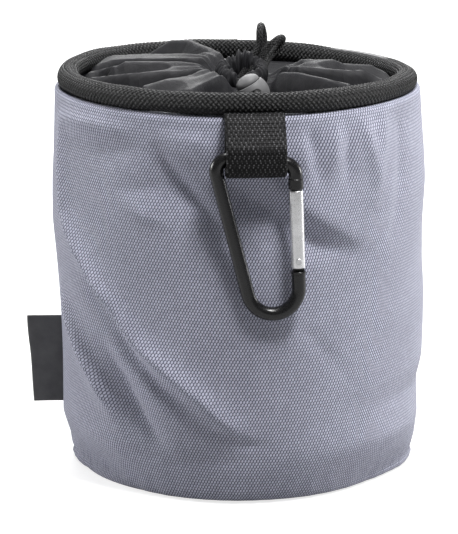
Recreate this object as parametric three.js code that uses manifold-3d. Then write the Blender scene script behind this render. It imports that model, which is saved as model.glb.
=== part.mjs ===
// Peg bag: a round fabric bag with a braided rim, a gathered mouth with a draw cord and a ball lock,
// and a snap hook on a webbing loop. Millimetres, +Z up, front towards -Y, origin at the base's centre.

import * as THREE from 'three';
import { mergeVertices } from 'three/addons/utils/BufferGeometryUtils.js';
import Module from 'manifold-3d';

const wasm = await Module();
wasm.setup();

// Running gap between pieces that touch, and the overrun of every cut
const seatGap = 0.3;
const overrun = 1;
const fullTurn = 2 * Math.PI;

// Shell wall: coated woven polyester, a tube that is turned in at both ends
const wall = {
  standOff: 6.5,
  thickness: 1,
  shoulderRadius: 2,
  footInset: 10,
  footCornerHeight: 10,
  footFlange: 3,
  sidesCount: 60,
  sideRows: 9,
  backFoldTurn: THREE.MathUtils.degToRad(178),
  leftDrawIn: 3.6,
  rightBulge: 2,
  taperEndShare: 0.05,
  taperStartShare: 0.6,
  shoulderSteps: 2,
  footSteps: 3,
};
// Slack folds of the wall, met again at its back. Each line runs through [degrees round from the
// front, height, lift], and its fold reaches out by one width to the left of that run and by
// another to the right.
const wallFolds = [
  {
    line: [
      [-70, 152, 1.2], [-69, 139, 2], [-67, 122, 2.6], [-55, 103, 2.8], [-44, 89, 3],
      [-29, 66, 3], [-16, 48, 2.8], [-4, 34, 2.2], [2, 29, 0.6],
    ],
    leftWidth: 13,
    rightWidth: 5,
  },
  { line: [[-49, 83, -0.8], [-38, 68, -1.4], [-29, 57, -1.2], [-19, 46, -0.4]], leftWidth: 5, rightWidth: 5 },
  { line: [[-68, 71, 1.2], [-54, 58, 2.4], [-47, 44, 2], [-36, 29, 0.4]], leftWidth: 5, rightWidth: 7 },
  { line: [[-42, 54, -1], [-34, 41, -2], [-29, 31, -1.6], [-22, 23, -0.2]], leftWidth: 5, rightWidth: 5 },
  {
    line: [[-26, 156, -0.6], [-19, 140, -2.4], [-11, 128, -2.8], [4, 106, -1.2]],
    leftWidth: 9,
    rightWidth: 7,
  },
  { line: [[14, 136, 0.4], [27, 125, 1.4], [40, 111, 0.6]], leftWidth: 8, rightWidth: 5 },
  { line: [[-1, 140, -1.6], [8, 130, -2.2], [20, 116, -2], [38, 105, -0.6]], leftWidth: 6, rightWidth: 10 },
];

// Rim: a plastic hoop in a braided tube that is slit and sewn along its underside
const rim = {
  ringRadius: 73.5,
  ringHeight: 171,
  bindingRadius: 4.5,
  bindingThickness: 1,
  slitWidth: 2,
  seamGap: 0.4,
  sidesCount: 60,
  bindingArcSteps: 8,
  hoopSides: 6,
};

// Base: a sewn fabric disc with a stiff board on it
const base = {
  panelThickness: 1.2,
  boardThickness: 1.5,
  boardMargin: 2.5,
  sidesCount: 64,
};

// Collar: thin pleated nylon from the rim to a standing casing round the hole
const collar = {
  thickness: 0.8,
  rimRise: 1,
  rimSeamShare: 0.03,
  rimRunShare: 0.13,
  holeRunShare: 0.14,
  holdRunShare: 0.14,
  crestDrop: 1.8,
  sagDepth: 6.5,
  sagStartShare: 0.25,
  sagHoldShare: 0.8,
  sagEndShare: 0.95,
  rowSpread: 1.35,
  grooveDepth: 6.2,
  grooveHalfWidth: 9,
  grooveLength: 46,
  grooveFade: 16,
  dimpleDepth: 6,
  dimpleRadius: 8.2,
  stepsAround: 76,
  stepsInward: 10,
};
// Lapped lobes of the collar, as folds whose lines run through [x, y, height over the rim's middle]
const lobes = [
  {
    line: [
      [-6.7, 11, 5.6], [-12, 22, 7.6], [-16.5, 32, 8.2], [-21, 41, 8.9],
      [-29.7, 46, 8.1], [-40.5, 48, 1],
    ],
    leftWidth: 7,
    rightWidth: 7,
  },
  {
    line: [[-63, 28, 0.8], [-55.5, 27, 4.1], [-41.6, 22, 5.6], [-23, 14, 6.8], [-12, 9, 7]],
    leftWidth: 5,
    rightWidth: 6,
  },
  {
    line: [[-62.7, 20, 0.7], [-54, 20, 3.2], [-42.7, 16, 4.3], [-18.5, 8, 5.3]],
    leftWidth: 6,
    rightWidth: 3,
  },
  {
    line: [[-52.4, 2, 3.4], [-48.9, 2, 5.4], [-25, 0, 5.9], [-10.5, -2, 3.9]],
    leftWidth: 4,
    rightWidth: 6,
  },
  {
    line: [[-62.2, -12, 0.7], [-46.2, -14, 2.7], [-29, -11, 3.6], [-16, -7, 3.4]],
    leftWidth: 7,
    rightWidth: 3,
  },
  {
    line: [[-39, -38, 1.6], [-30.8, -31, 3], [-18.2, -19, 2.9], [-11.8, -12, 4.4], [-6.6, -10, 3]],
    leftWidth: 4,
    rightWidth: 6,
  },
  { line: [[-20, -36, -0.5], [-11.7, -21, 2.2], [-6.6, -13, 3]], leftWidth: 6, rightWidth: 3 },
  {
    line: [[25, 4, 3.3], [28.7, 5, 5.6], [41.9, 8, 5.3], [46.3, 9, 3.4], [58, 11, 2.6], [66, 10, -1.2]],
    leftWidth: 5,
    rightWidth: 6,
  },
  {
    line: [[27, -3, 3.6], [46.6, -5, 2.6], [55.3, -4, 2.6], [61.8, -5, -0.9]],
    leftWidth: 6,
    rightWidth: 3,
  },
  {
    line: [[12, -8, 2.9], [26, -18, 3.8], [37.3, -27, 2.7], [46.9, -33, 1.4]],
    leftWidth: 6,
    rightWidth: 3,
  },
];
const casing = {
  centreX: 2,
  ringRadius: 8.7,
  rise: 0.5,
  tilt: THREE.MathUtils.degToRad(12),
  halfWidth: 2.7,
  halfHeight: 4.6,
  wall: 0.7,
  sidesCount: 30,
  endArcSteps: 4,
  frontMouthWidth: 15,
  frontMouthFall: 2.3,
  frontMouthRise: 4.6,
  backMouthLeft: 4.5,
  backMouthRight: 15,
  backMouthFront: 0.5,
  backMouthDepth: 5.4,
};

// Draw cord: one braided cord, from its left tail knot to its right one
const cord = {
  diameter: 3,
  sides: 8,
  steps: 80,
  knotRadius: 2.7,
  knotSides: 10,
};

// Cord lock: a ball-shaped lock with a sprung plunger; heights are along its own leaning axis
const lock = {
  offsetX: 6.8,
  forward: 22,
  drop: 4.5,
  lean: THREE.MathUtils.degToRad(30),
  radius: 7,
  halfLength: 8.2,
  laneSpacing: 3.7,
  rimHeight: 3.9,
  stemRadius: 4.4,
  boreFloor: 5.2,
  pocketRadius: 2.9,
  pocketFloor: 6.9,
  capRadius: 5.2,
  capGap: 0.5,
  capEdge: 0.7,
  travel: 2,
  slide: 6,
  bridge: 1.3,
  springWire: 0.5,
  springTurns: 2,
  springRadius: 2.2,
  sidesCount: 32,
  domeSteps: 7,
};

// Webbing loop and the snap hook in it, turned together round the bag's axis
const hanger = {
  offsetX: 7.4,
  barDrop: 16.8,
};
const webbing = {
  width: 25,
  thickness: 1.3,
  loopDrop: 1.5,
  loopLift: 1.4,
  loopSlack: 0.5,
  apexRise: 11.5,
  apexRadius: 0.4,
  tongueThickness: 2.4,
  tongueTurn: THREE.MathUtils.degToRad(84),
  tongueSteps: 5,
  stepsAcross: 6,
  arcStep: THREE.MathUtils.degToRad(20),
};

// Snap hook: a round rod bent round three circles, with a gap that the gate closes
const hook = {
  rodRadius: 2.9,
  bottom: { x: 7.3, z: -54, radius: 10.7 },
  topRight: { x: 11.1, z: -6.4, radius: 5.3 },
  topLeft: { x: -10.9, z: -4.3, radius: 5.4 },
  rodSides: 14,
  arcStep: THREE.MathUtils.degToRad(18),
  noseBandHeight: 4.4,
  footBandHeight: 1.3,
  bandExtra: 0.25,
  tongueThickness: 2,
  tongueWidth: 4.6,
  noseReach: 5.4,
};
const gate = {
  radius: 3,
  length: 34,
  topDrop: 12.3,
  pivotInset: 4.1,
  edgeRadius: 0.8,
  edgeSteps: 3,
  slotClearance: 0.3,
  topSlotDepth: 6.2,
  bottomSlotDepth: 8.6,
  rivetRadius: 0.9,
  rivetHeadRadius: 1.3,
  rivetHeadHeight: 0.35,
  latchRadius: 0.8,
  latchInset: 2.6,
  latchCover: 0.5,
  pinClearance: 0.12,
  pinSides: 16,
  boreRadius: 1.35,
  boreLength: 13,
  pusherRadius: 1,
  pusherLength: 4,
  springWire: 0.35,
  springTurns: 6,
  sidesCount: 28,
  domeSteps: 4,
};

// Side label: a folded strip caught in the left seam
const label = {
  bottomHeight: 24.5,
  height: 39,
  reach: 14.6,
  thickness: 1,
  edgeSteps: 4,
};

function material(color, roughness, metalness = 0) {
  return new THREE.MeshStandardMaterial({ color, roughness, metalness });
}

const finishes = {
  shellCloth: material(0x8c8ea2, 0.75),
  blackBraid: material(0x1c1c1f, 0.85),
  nylon: material(0x2a2a2e, 0.5),
  lockPlastic: material(0x95959a, 0.5),
  lockButton: material(0x84848a, 0.5),
  labelCloth: material(0x464648, 0.8),
  blackRod: material(0x0c0c0d, 0.25, 0.6),
  bareMetal: material(0xc9cacc, 0.3, 1),
  springSteel: material(0x9a9b9e, 0.35, 1),
  board: material(0x3a3a3c, 0.7),
};

const model = new THREE.Group();

function addMesh(parent, name, geometry, finish) {
  const mesh = new THREE.Mesh(geometry, finish);
  mesh.name = name;
  parent.add(mesh);
  return mesh;
}

// A closed geometry with its shared vertices merged, as position only
function welded(geometry) {
  const bare = geometry.clone();
  bare.deleteAttribute('normal');
  bare.deleteAttribute('uv');
  return mergeVertices(bare);
}

function toSolid(geometry) {
  const merged = welded(geometry);
  const mesh = new wasm.Mesh({
    numProp: 3,
    vertProperties: Float32Array.from(merged.attributes.position.array),
    triVerts: Uint32Array.from(merged.index.array),
  });
  return new wasm.Manifold(mesh);
}

function toGeometry(solid) {
  const mesh = solid.getMesh();
  const geometry = new THREE.BufferGeometry();
  geometry.setAttribute('position', new THREE.BufferAttribute(mesh.vertProperties, 3));
  geometry.setIndex(new THREE.BufferAttribute(mesh.triVerts, 1));
  geometry.computeVertexNormals();
  return geometry;
}

// A profile of (radius, height) points turned round +Z; a closed profile ends where it starts
function turned(profile, sidesCount) {
  const points = profile.map(([radius, height]) => new THREE.Vector2(radius, height));
  return new THREE.LatheGeometry(points, sidesCount).rotateX(Math.PI / 2);
}

// A cylinder whose axis runs along +Z, from one height to another
function rod(radius, low, high, sidesCount) {
  return turned([[0, low], [radius, low], [radius, high], [0, high]], sidesCount);
}

function block(lowX, highX, lowY, highY, lowZ, highZ) {
  const box = new THREE.BoxGeometry(highX - lowX, highY - lowY, highZ - lowZ);
  return box.translate((lowX + highX) / 2, (lowY + highY) / 2, (lowZ + highZ) / 2);
}

function arcPoints(centre, radius, startAngle, endAngle, steps) {
  return Array.from({ length: steps + 1 }, (_, step) => {
    const angle = startAngle + ((endAngle - startAngle) * step) / steps;
    return [centre[0] + radius * Math.cos(angle), centre[1] + radius * Math.sin(angle)];
  });
}

// The belt round circles listed counter-clockwise, as tangent lines and arcs
function beltRound(circles) {
  const tangents = circles.map((from, index) => {
    const to = circles[(index + 1) % circles.length];
    const run = Math.atan2(to.z - from.z, to.x - from.x);
    const spacing = Math.hypot(to.x - from.x, to.z - from.z);
    return run - Math.PI / 2 - Math.asin((to.radius - from.radius) / spacing);
  });
  return circles.map((circle, index) => {
    const start = tangents[(index + circles.length - 1) % circles.length];
    const end = tangents[index];
    const sweep = ((end - start) % fullTurn + fullTurn) % fullTurn;
    return { circle, start, sweep };
  });
}

function beltOutline(circles, stepAngle) {
  return beltRound(circles).flatMap(({ circle, start, sweep }) => {
    const steps = Math.max(1, Math.ceil(sweep / stepAngle));
    return arcPoints([circle.x, circle.z], circle.radius, start, start + sweep, steps);
  });
}

// Moves every vertex of a geometry by a function of its place
function reshaped(geometry, move) {
  const place = geometry.attributes.position;
  const point = new THREE.Vector3();
  for (let index = 0; index < place.count; index += 1) {
    point.fromBufferAttribute(place, index);
    move(point);
    place.setXYZ(index, point.x, point.y, point.z);
  }
  geometry.computeVertexNormals();
  return geometry;
}

// A coil spring as one unbroken tube round +Z, with its ends laid flat
function coilSpring(radius, wire, low, high, turns) {
  const stepsPerTurn = 12;
  const count = turns * stepsPerTurn;
  const points = Array.from({ length: count + 1 }, (_, step) => {
    const angle = (step / stepsPerTurn) * fullTurn;
    const height = low + wire / 2 + ((high - low - wire) * step) / count;
    return new THREE.Vector3(radius * Math.cos(angle), radius * Math.sin(angle), height);
  });
  const path = new THREE.CatmullRomCurve3(points);
  const section = new THREE.Shape();
  section.absarc(0, 0, wire / 2, 0, fullTurn);
  return new THREE.ExtrudeGeometry(section, {
    steps: count,
    curveSegments: 2,
    bevelEnabled: false,
    extrudePath: path,
  });
}

// Shell wall: an open tube with a rounded foot and a shoulder that turns in under the rim
const wallRadius = rim.ringRadius + wall.standOff;
const footRadius = wallRadius - wall.footInset;

// Weighs folds at a place of a sheet. A fold weighs exp(-(distance / width)^2), by the distance to its
// line and its width on that side, and brings the lift of the line's nearest point.
function foldsAt(across, up, folds) {
  let weight = 0;
  let lifted = 0;
  for (const { line, leftWidth, rightWidth } of folds) {
    let nearest = { distance: Infinity };
    for (let index = 1; index < line.length; index += 1) {
      const [startX, startY, startLift] = line[index - 1];
      const [endX, endY, endLift] = line[index];
      const run = new THREE.Vector2(endX - startX, endY - startY);
      const offset = new THREE.Vector2(across - startX, up - startY);
      const share = THREE.MathUtils.clamp(offset.dot(run) / run.lengthSq(), 0, 1);
      const distance = offset.distanceTo(run.clone().multiplyScalar(share));
      const width = run.cross(offset) > 0 ? leftWidth : rightWidth;
      const lift = THREE.MathUtils.lerp(startLift, endLift, share);
      if (distance < nearest.distance) nearest = { distance, width, lift };
    }
    const share = Math.exp(-((nearest.distance / nearest.width) ** 2));
    weight += share;
    lifted += share * nearest.lift;
  }
  return { weight, lifted };
}

// The wall's swell and draw-in: the left side tapers below mid height, the right side bulges
function shellSway(point) {
  const topOfWall = rim.ringHeight - rim.bindingRadius;
  const heightShare = THREE.MathUtils.clamp(point.z / topOfWall, 0, 1);
  const lowerShare = 1 - THREE.MathUtils.smoothstep(heightShare, wall.taperEndShare, wall.taperStartShare);
  const bellyShare = Math.sin(Math.PI * heightShare) ** 2;
  const distance = Math.hypot(point.x, point.y);
  const leftShare = Math.max(0, -point.x / distance) ** 2;
  const rightShare = Math.max(0, point.x / distance) ** 2;
  const skinShare = THREE.MathUtils.smoothstep(point.z, 0, wall.footCornerHeight / 2)
    * THREE.MathUtils.smoothstep(distance, footRadius, (footRadius + wallRadius) / 2);
  const drawIn = wall.leftDrawIn * leftShare * lowerShare * skinShare;
  const change = wall.rightBulge * rightShare * bellyShare - drawIn;
  point.x += (point.x / distance) * change;
  point.y += (point.y / distance) * change;
}

// Turns the wall's columns so that they follow its longest fold, then lifts every fold
const foldsOnWall = wallFolds.map(({ line, ...widths }) => ({
  line: line.map(([degrees, height, lift]) => [THREE.MathUtils.degToRad(degrees) * wallRadius, height, lift]),
  ...widths,
}));

function longestFoldTurn(height) {
  const [{ line }] = wallFolds;
  const after = line.findIndex((place) => place[1] <= height);
  if (after === 0) return THREE.MathUtils.degToRad(line[0][0]);
  if (after < 0) return THREE.MathUtils.degToRad(line[line.length - 1][0]);
  const [high, low] = [line[after - 1], line[after]];
  const share = (height - low[1]) / (high[1] - low[1]);
  return THREE.MathUtils.degToRad(THREE.MathUtils.lerp(low[0], high[0], share));
}

function shellFolds(point) {
  point.applyAxisAngle(new THREE.Vector3(0, 0, 1), longestFoldTurn(point.z));
  const distance = Math.hypot(point.x, point.y);
  const turn = Math.atan2(point.x, -point.y);
  const farEnough = THREE.MathUtils.smoothstep(distance, footRadius, wallRadius - wall.thickness);
  const shoulder = flangeTop - wall.shoulderRadius;
  const foldShare = farEnough * THREE.MathUtils.smoothstep(shoulder - point.z, 0, wall.footCornerHeight);
  const lift = [0, wall.backFoldTurn].reduce((sum, setTurn) => {
    const fromSet = THREE.MathUtils.euclideanModulo(turn - setTurn + Math.PI, fullTurn) - Math.PI;
    return sum + foldShare * foldsAt(fromSet * wallRadius, point.z, foldsOnWall).lifted;
  }, 0);
  point.x += (point.x / distance) * lift;
  point.y += (point.y / distance) * lift;
}

const flangeTop = rim.ringHeight - rim.bindingRadius - seatGap;
const flangeEnd = rim.ringRadius + rim.seamGap;
const footSeam = footRadius - wall.footFlange;

function wallProfile(inset) {
  const shoulder = [wallRadius - wall.shoulderRadius, flangeTop - wall.shoulderRadius];
  const topArc = arcPoints(shoulder, wall.shoulderRadius - inset, Math.PI / 2, 0, wall.shoulderSteps);
  const footArc = Array.from({ length: wall.footSteps + 1 }, (_, step) => {
    const angle = (step / wall.footSteps) * (Math.PI / 2);
    const radius = footRadius + (wall.footInset - inset) * Math.cos(angle);
    const height = wall.footCornerHeight - (wall.footCornerHeight - inset) * Math.sin(angle);
    return [radius, height];
  });
  const side = Array.from({ length: wall.sideRows }, (_, row) => [
    wallRadius - inset,
    THREE.MathUtils.lerp(shoulder[1], wall.footCornerHeight, (row + 1) / (wall.sideRows + 1)),
  ]);
  return [[flangeEnd, flangeTop - inset], ...topArc, ...side, ...footArc, [footSeam, inset]];
}

const wallOutline = [...wallProfile(0), ...wallProfile(wall.thickness).reverse()];
wallOutline.push(wallOutline[0]);
const wallGeometry = reshaped(turned(wallOutline.reverse(), wall.sidesCount), shellFolds);
addMesh(model, 'shell_wall', reshaped(wallGeometry, shellSway), finishes.shellCloth);

// Base panel, and the board that lies on it inside the bag
const panelRadius = footSeam - seatGap;
const boardBottom = Math.max(base.panelThickness, wall.thickness) + seatGap;
const boardRadius = footRadius - base.boardMargin;
addMesh(model, 'base_panel', rod(panelRadius, 0, base.panelThickness, base.sidesCount), finishes.shellCloth);
addMesh(
  model,
  'base_board',
  rod(boardRadius, boardBottom, boardBottom + base.boardThickness, base.sidesCount),
  finishes.board,
);

// Rim binding: a tube section, slit along its underside, turned round the mouth
const slitAngle = Math.asin(rim.slitWidth / 2 / rim.bindingRadius);
const ringCentre = [rim.ringRadius, rim.ringHeight];
const bindingStart = -Math.PI / 2 + slitAngle;
const bindingEnd = (3 * Math.PI) / 2 - slitAngle;
const bindingInner = rim.bindingRadius - rim.bindingThickness;
const bindingOutline = [
  ...arcPoints(ringCentre, rim.bindingRadius, bindingStart, bindingEnd, rim.bindingArcSteps),
  ...arcPoints(ringCentre, bindingInner, bindingEnd, bindingStart, rim.bindingArcSteps),
];
bindingOutline.push(bindingOutline[0]);
addMesh(model, 'rim_binding', turned(bindingOutline, rim.sidesCount), finishes.blackBraid);

const innerFlat = bindingInner * Math.cos((bindingEnd - bindingStart) / rim.bindingArcSteps / 2);
const hoopRadius = innerFlat - seatGap;
const hoopOutline = arcPoints(ringCentre, hoopRadius, 0, fullTurn, rim.hoopSides);
hoopOutline[hoopOutline.length - 1] = hoopOutline[0];
addMesh(model, 'rim_hoop', turned(hoopOutline, rim.sidesCount), finishes.board);

// Collar: a sheet between the rim seam and the casing, as a height over the plane, with its lobes
const casingHeight = rim.ringHeight + casing.rise;
const lockCentre = new THREE.Vector3(lock.offsetX, -lock.forward, casingHeight - lock.drop);
const casingOuter = casing.ringRadius + casing.halfWidth;
const sheetEnd = casingOuter - casing.wall / 2;
const sheetLow = casingHeight - casing.halfHeight / 2;

function casingPlace(angle, radius) {
  const y = radius * Math.sin(angle);
  return new THREE.Vector3(casing.centreX + radius * Math.cos(angle), y, Math.tan(casing.tilt) * y);
}

function collarPoint(angle, inwardShare) {
  const rimEdge = rim.ringRadius - seatGap / 2;
  const outer = new THREE.Vector3(rimEdge * Math.cos(angle), rimEdge * Math.sin(angle), 0);
  const inner = casingPlace(angle, sheetEnd);
  const point = outer.clone().lerp(inner, inwardShare);
  const rimSeam = flangeTop - collar.thickness / 2;
  const innerHeight = sheetLow + inner.z;
  const crestStart = rimSeam + collar.rimRise;
  const crest = THREE.MathUtils.lerp(crestStart, rim.ringHeight - collar.crestDrop, Math.sqrt(inwardShare));
  const nearRim = THREE.MathUtils.smoothstep(inwardShare, collar.rimSeamShare, collar.rimRunShare);
  const nearHole = THREE.MathUtils.smoothstep(inwardShare, 1 - collar.holeRunShare, 1);
  const sag = collar.sagDepth
    * THREE.MathUtils.smoothstep(inwardShare, collar.rimSeamShare, collar.sagStartShare)
    * (1 - THREE.MathUtils.smoothstep(inwardShare, collar.sagHoldShare, collar.sagEndShare));
  const valley = crest - sag;
  const { weight, lifted } = foldsAt(point.x, point.y, lobes);
  const bodyHeight = valley + (lifted + weight * (rim.ringHeight - valley)) / Math.max(1, weight);
  const fromRim = THREE.MathUtils.lerp(rimSeam, bodyHeight, nearRim);
  point.z = THREE.MathUtils.lerp(fromRim, innerHeight, nearHole);
  const besideLock = (point.x - lockCentre.x) / collar.grooveHalfWidth;
  const lockMiddle = lockCentre.y - lock.slide / 2;
  const beforeLock = Math.max(0, Math.abs(point.y - lockMiddle) - lock.slide / 2);
  const grooveEnd = collar.grooveLength + collar.grooveFade;
  const frontShare = THREE.MathUtils.smoothstep(-point.y, 0, -lockCentre.y / 2)
    * (1 - THREE.MathUtils.smoothstep(-point.y, collar.grooveLength, grooveEnd));
  const lockFoot = lockCentre.x + (lock.halfLength / 3) * Math.sin(lock.lean);
  const away = Math.hypot(point.x - lockFoot, beforeLock) / collar.dimpleRadius;
  const holdShare = 1 - THREE.MathUtils.smoothstep(inwardShare, 1 - collar.holdRunShare, 1);
  const groove = Math.exp(-(besideLock ** 4)) * frontShare * holdShare;
  const flatHeight = THREE.MathUtils.lerp(crest, innerHeight, nearHole) - collar.grooveDepth;
  point.z = THREE.MathUtils.lerp(point.z, Math.min(point.z, flatHeight), groove);
  point.z -= collar.dimpleDepth * Math.exp(-(away ** 2)) * holdShare;
  return point;
}

function collarSheet() {
  const points = [];
  const rows = collar.stepsInward + 1;
  for (let side = 0; side < 2; side += 1) {
    for (let row = 0; row < rows; row += 1) {
      for (let column = 0; column < collar.stepsAround; column += 1) {
        const inwardShare = (row / collar.stepsInward) ** collar.rowSpread;
        const point = collarPoint((column / collar.stepsAround) * fullTurn, inwardShare);
        point.z += (side === 0 ? 1 : -1) * (collar.thickness / 2);
        points.push(point);
      }
    }
  }
  const at = (side, row, column) => (side * rows + row) * collar.stepsAround + (column % collar.stepsAround);
  const faces = [];
  const quad = (a, b, c, d) => faces.push(a, b, c, a, c, d);
  for (let column = 0; column < collar.stepsAround; column += 1) {
    for (let row = 0; row < collar.stepsInward; row += 1) {
      const next = row + 1;
      quad(at(0, row, column), at(0, row, column + 1), at(0, next, column + 1), at(0, next, column));
      quad(at(1, row, column), at(1, next, column), at(1, next, column + 1), at(1, row, column + 1));
    }
    quad(at(0, 0, column + 1), at(0, 0, column), at(1, 0, column), at(1, 0, column + 1));
    const last = collar.stepsInward;
    quad(at(0, last, column), at(0, last, column + 1), at(1, last, column + 1), at(1, last, column));
  }
  const geometry = new THREE.BufferGeometry().setFromPoints(points);
  geometry.setIndex(faces);
  return geometry;
}

// A standing ring section with round ends, as (radius, height) points
function casingSection(halfWidth, halfHeight) {
  const straight = halfHeight - halfWidth;
  const outline = [
    ...arcPoints([casing.ringRadius, straight], halfWidth, 0, Math.PI, casing.endArcSteps),
    ...arcPoints([casing.ringRadius, -straight], halfWidth, Math.PI, fullTurn, casing.endArcSteps),
  ];
  outline.push(outline[0]);
  return outline;
}

const tiltCasing = (point) => {
  point.x += casing.centreX;
  point.z += casingHeight + Math.tan(casing.tilt) * point.y;
};
function casingShell(inset) {
  const section = casingSection(casing.halfWidth - inset, casing.halfHeight - inset);
  return toSolid(reshaped(turned(section, casing.sidesCount), tiltCasing));
}

const casingReach = casingOuter + overrun;
const frontMouth = toSolid(block(
  lockCentre.x - (casing.frontMouthWidth + lock.laneSpacing) / 2,
  lockCentre.x + (casing.frontMouthWidth - lock.laneSpacing) / 2,
  -casingReach,
  -casing.ringRadius / 2,
  lockCentre.z - casing.frontMouthFall,
  lockCentre.z + casing.frontMouthRise,
));
const backMouthTop = casingHeight + casing.halfHeight + casingReach * Math.tan(casing.tilt) + overrun;
const backMouth = toSolid(block(
  casing.centreX - casing.backMouthLeft,
  casing.centreX + casing.backMouthRight,
  casing.backMouthFront,
  casingReach,
  casingHeight + casing.halfHeight - casing.backMouthDepth,
  backMouthTop,
));
const collarSolid = toSolid(collarSheet())
  .add(casingShell(0))
  .subtract(casingShell(casing.wall))
  .subtract(frontMouth)
  .subtract(backMouth);
addMesh(model, 'collar', toGeometry(collarSolid), finishes.nylon);

// Draw cord: its route from the left tail, through the lock, round the casing's left half,
// out at the back, down into the bag and back, and round the right half to the right tail
const laneLine = new THREE.Vector3(Math.cos(lock.lean), 0, Math.sin(lock.lean));
const laneShift = laneLine.multiplyScalar(lock.laneSpacing / 2);
const leftLane = lockCentre.clone().sub(laneShift);
const rightLane = lockCentre.clone().add(laneShift);
const tailSplay = lock.laneSpacing / 2;
const straightEnd = lockCentre.y - lock.radius - lock.slide;
const tailEnd = straightEnd - 2 * cord.knotRadius;
const laneEnd = lockCentre.y + lock.radius + seatGap;
const onRing = (degrees) => {
  const angle = THREE.MathUtils.degToRad(degrees);
  const place = casingPlace(angle, casing.ringRadius);
  return new THREE.Vector3(place.x, place.y, place.z + casingHeight);
};
const openLoops = [
  [1.4, 9.4, 2.9],
  [6, 12.4, 4.2],
  [10.8, 17.6, 7.4],
  [12, 19.8, 13],
  [11.6, 18, 17.4],
  [10.9, 13.5, 19.4],
  [10.3, 8.8, 17.6],
  [9.7, 6.7, 12.6],
  [7.6, 6.6, 7],
  [3.2, 5.6, 2.2],
  [0.2, 2.7, -5],
  [-1.7, 1.8, -21],
  [-3.6, 1, -50],
  [-4.8, 0.4, -81],
  [-5.1, 0.2, -110],
  [-2.8, 0.2, -115.6],
  [2.9, 0.2, -118],
  [8.6, 0.2, -115.6],
  [10.9, 0.2, -110],
  [10.6, 0.4, -81],
  [9, 0.8, -51],
  [6.4, 1.4, -21],
  [4.9, 1.8, -4.2],
  [6.4, 3, 1.6],
  [10, 4.4, 5.8],
  [13, 6, 9.6],
  [15.9, 8.2, 12.4],
  [18.2, 11.4, 13.7],
  [19.2, 15.9, 12.9],
  [19.4, 18.5, 9],
  [19.2, 18.1, 5.4],
  [18.3, 15.6, 2.4],
  [16.4, 12, 1.7],
  [12.8, 6.2, 1.6],
];
const tailDrop = lock.laneSpacing / 4;
const cordRoute = [
  new THREE.Vector3(leftLane.x - tailSplay, tailEnd, leftLane.z),
  new THREE.Vector3(leftLane.x, straightEnd, leftLane.z),
  new THREE.Vector3(leftLane.x, lockCentre.y - lock.radius, leftLane.z),
  new THREE.Vector3(leftLane.x, lockCentre.y, leftLane.z),
  new THREE.Vector3(leftLane.x, laneEnd, leftLane.z),
  new THREE.Vector3(3.5, -10.6, rim.ringHeight - 3),
  onRing(-108),
  onRing(-140),
  onRing(-172),
  onRing(156),
  onRing(124),
  ...openLoops.map(([x, y, rise]) => new THREE.Vector3(x, y, rim.ringHeight + rise)),
  onRing(14),
  onRing(-20),
  new THREE.Vector3(9.3, -8.6, rim.ringHeight - 2.4),
  new THREE.Vector3(rightLane.x, laneEnd, rightLane.z),
  new THREE.Vector3(rightLane.x, lockCentre.y, rightLane.z),
  new THREE.Vector3(rightLane.x, lockCentre.y - lock.radius, rightLane.z),
  new THREE.Vector3(rightLane.x, straightEnd, rightLane.z),
  new THREE.Vector3(rightLane.x + tailSplay, tailEnd, rightLane.z - tailDrop),
];
const cordPath = new THREE.CatmullRomCurve3(cordRoute, false, 'centripetal');
cordPath.arcLengthDivisions = 2000;
const cordSection = new THREE.Shape();
cordSection.absarc(0, 0, cord.diameter / 2, 0, fullTurn);
const cordGeometry = new THREE.ExtrudeGeometry(cordSection, {
  steps: cord.steps,
  curveSegments: cord.sides / 2,
  bevelEnabled: false,
  extrudePath: cordPath,
});
const cordTips = [cordRoute[0], cordRoute[cordRoute.length - 1]];
const cordSolid = cordTips.reduce((solid, tip) => {
  const knot = new THREE.SphereGeometry(cord.knotRadius, cord.knotSides, cord.knotSides / 2);
  return solid.add(toSolid(knot.translate(tip.x, tip.y, tip.z)));
}, toSolid(cordGeometry));
addMesh(model, 'draw_cord', toGeometry(cordSolid), finishes.blackBraid);

// Cord lock: drawn upright round its own axis, then leant and put in its place
const lockGroup = new THREE.Group();
lockGroup.position.copy(lockCentre);
lockGroup.rotation.y = -lock.lean;
model.add(lockGroup);

const cordRadius = cord.diameter / 2;
const slotHalf = lock.laneSpacing / 2 + cordRadius + seatGap;
const slotRise = cordRadius + seatGap;
const capBottom = lock.rimHeight + lock.capGap;
const capFloor = capBottom - lock.travel - seatGap;
const stemBottom = -slotRise - lock.bridge;
const ballRadiusAt = (height) => lock.radius * Math.sqrt(1 - (height / lock.halfLength) ** 2);

// Points of an ellipse quarter in (radius, height), from one height to the pole at another
function domePoints(radiusAt, startHeight, poleHeight) {
  return Array.from({ length: lock.domeSteps + 1 }, (_, step) => {
    const share = Math.sin((step / lock.domeSteps) * (Math.PI / 2));
    const height = startHeight + (poleHeight - startHeight) * share;
    return [step === lock.domeSteps ? 0 : radiusAt(height), height];
  });
}

const lockBall = turned([
  ...domePoints(ballRadiusAt, 0, -lock.halfLength).reverse(),
  [ballRadiusAt(lock.rimHeight / 2), lock.rimHeight / 2],
  [ballRadiusAt(lock.rimHeight), lock.rimHeight],
  [lock.capRadius + seatGap, lock.rimHeight],
  [lock.capRadius + seatGap, capFloor],
  [lock.stemRadius + seatGap, capFloor],
  [lock.stemRadius + seatGap, -lock.boreFloor],
  [lock.pocketRadius, -lock.boreFloor],
  [lock.pocketRadius, -lock.pocketFloor],
  [0, -lock.pocketFloor],
], lock.sidesCount);
const crossSlot = (top) => toSolid(block(
  -slotHalf, slotHalf, -lock.halfLength, lock.halfLength, -slotRise, top,
));
addMesh(
  lockGroup,
  'cord_lock_body',
  toGeometry(toSolid(lockBall).subtract(crossSlot(slotRise))),
  finishes.lockPlastic,
);

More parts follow.
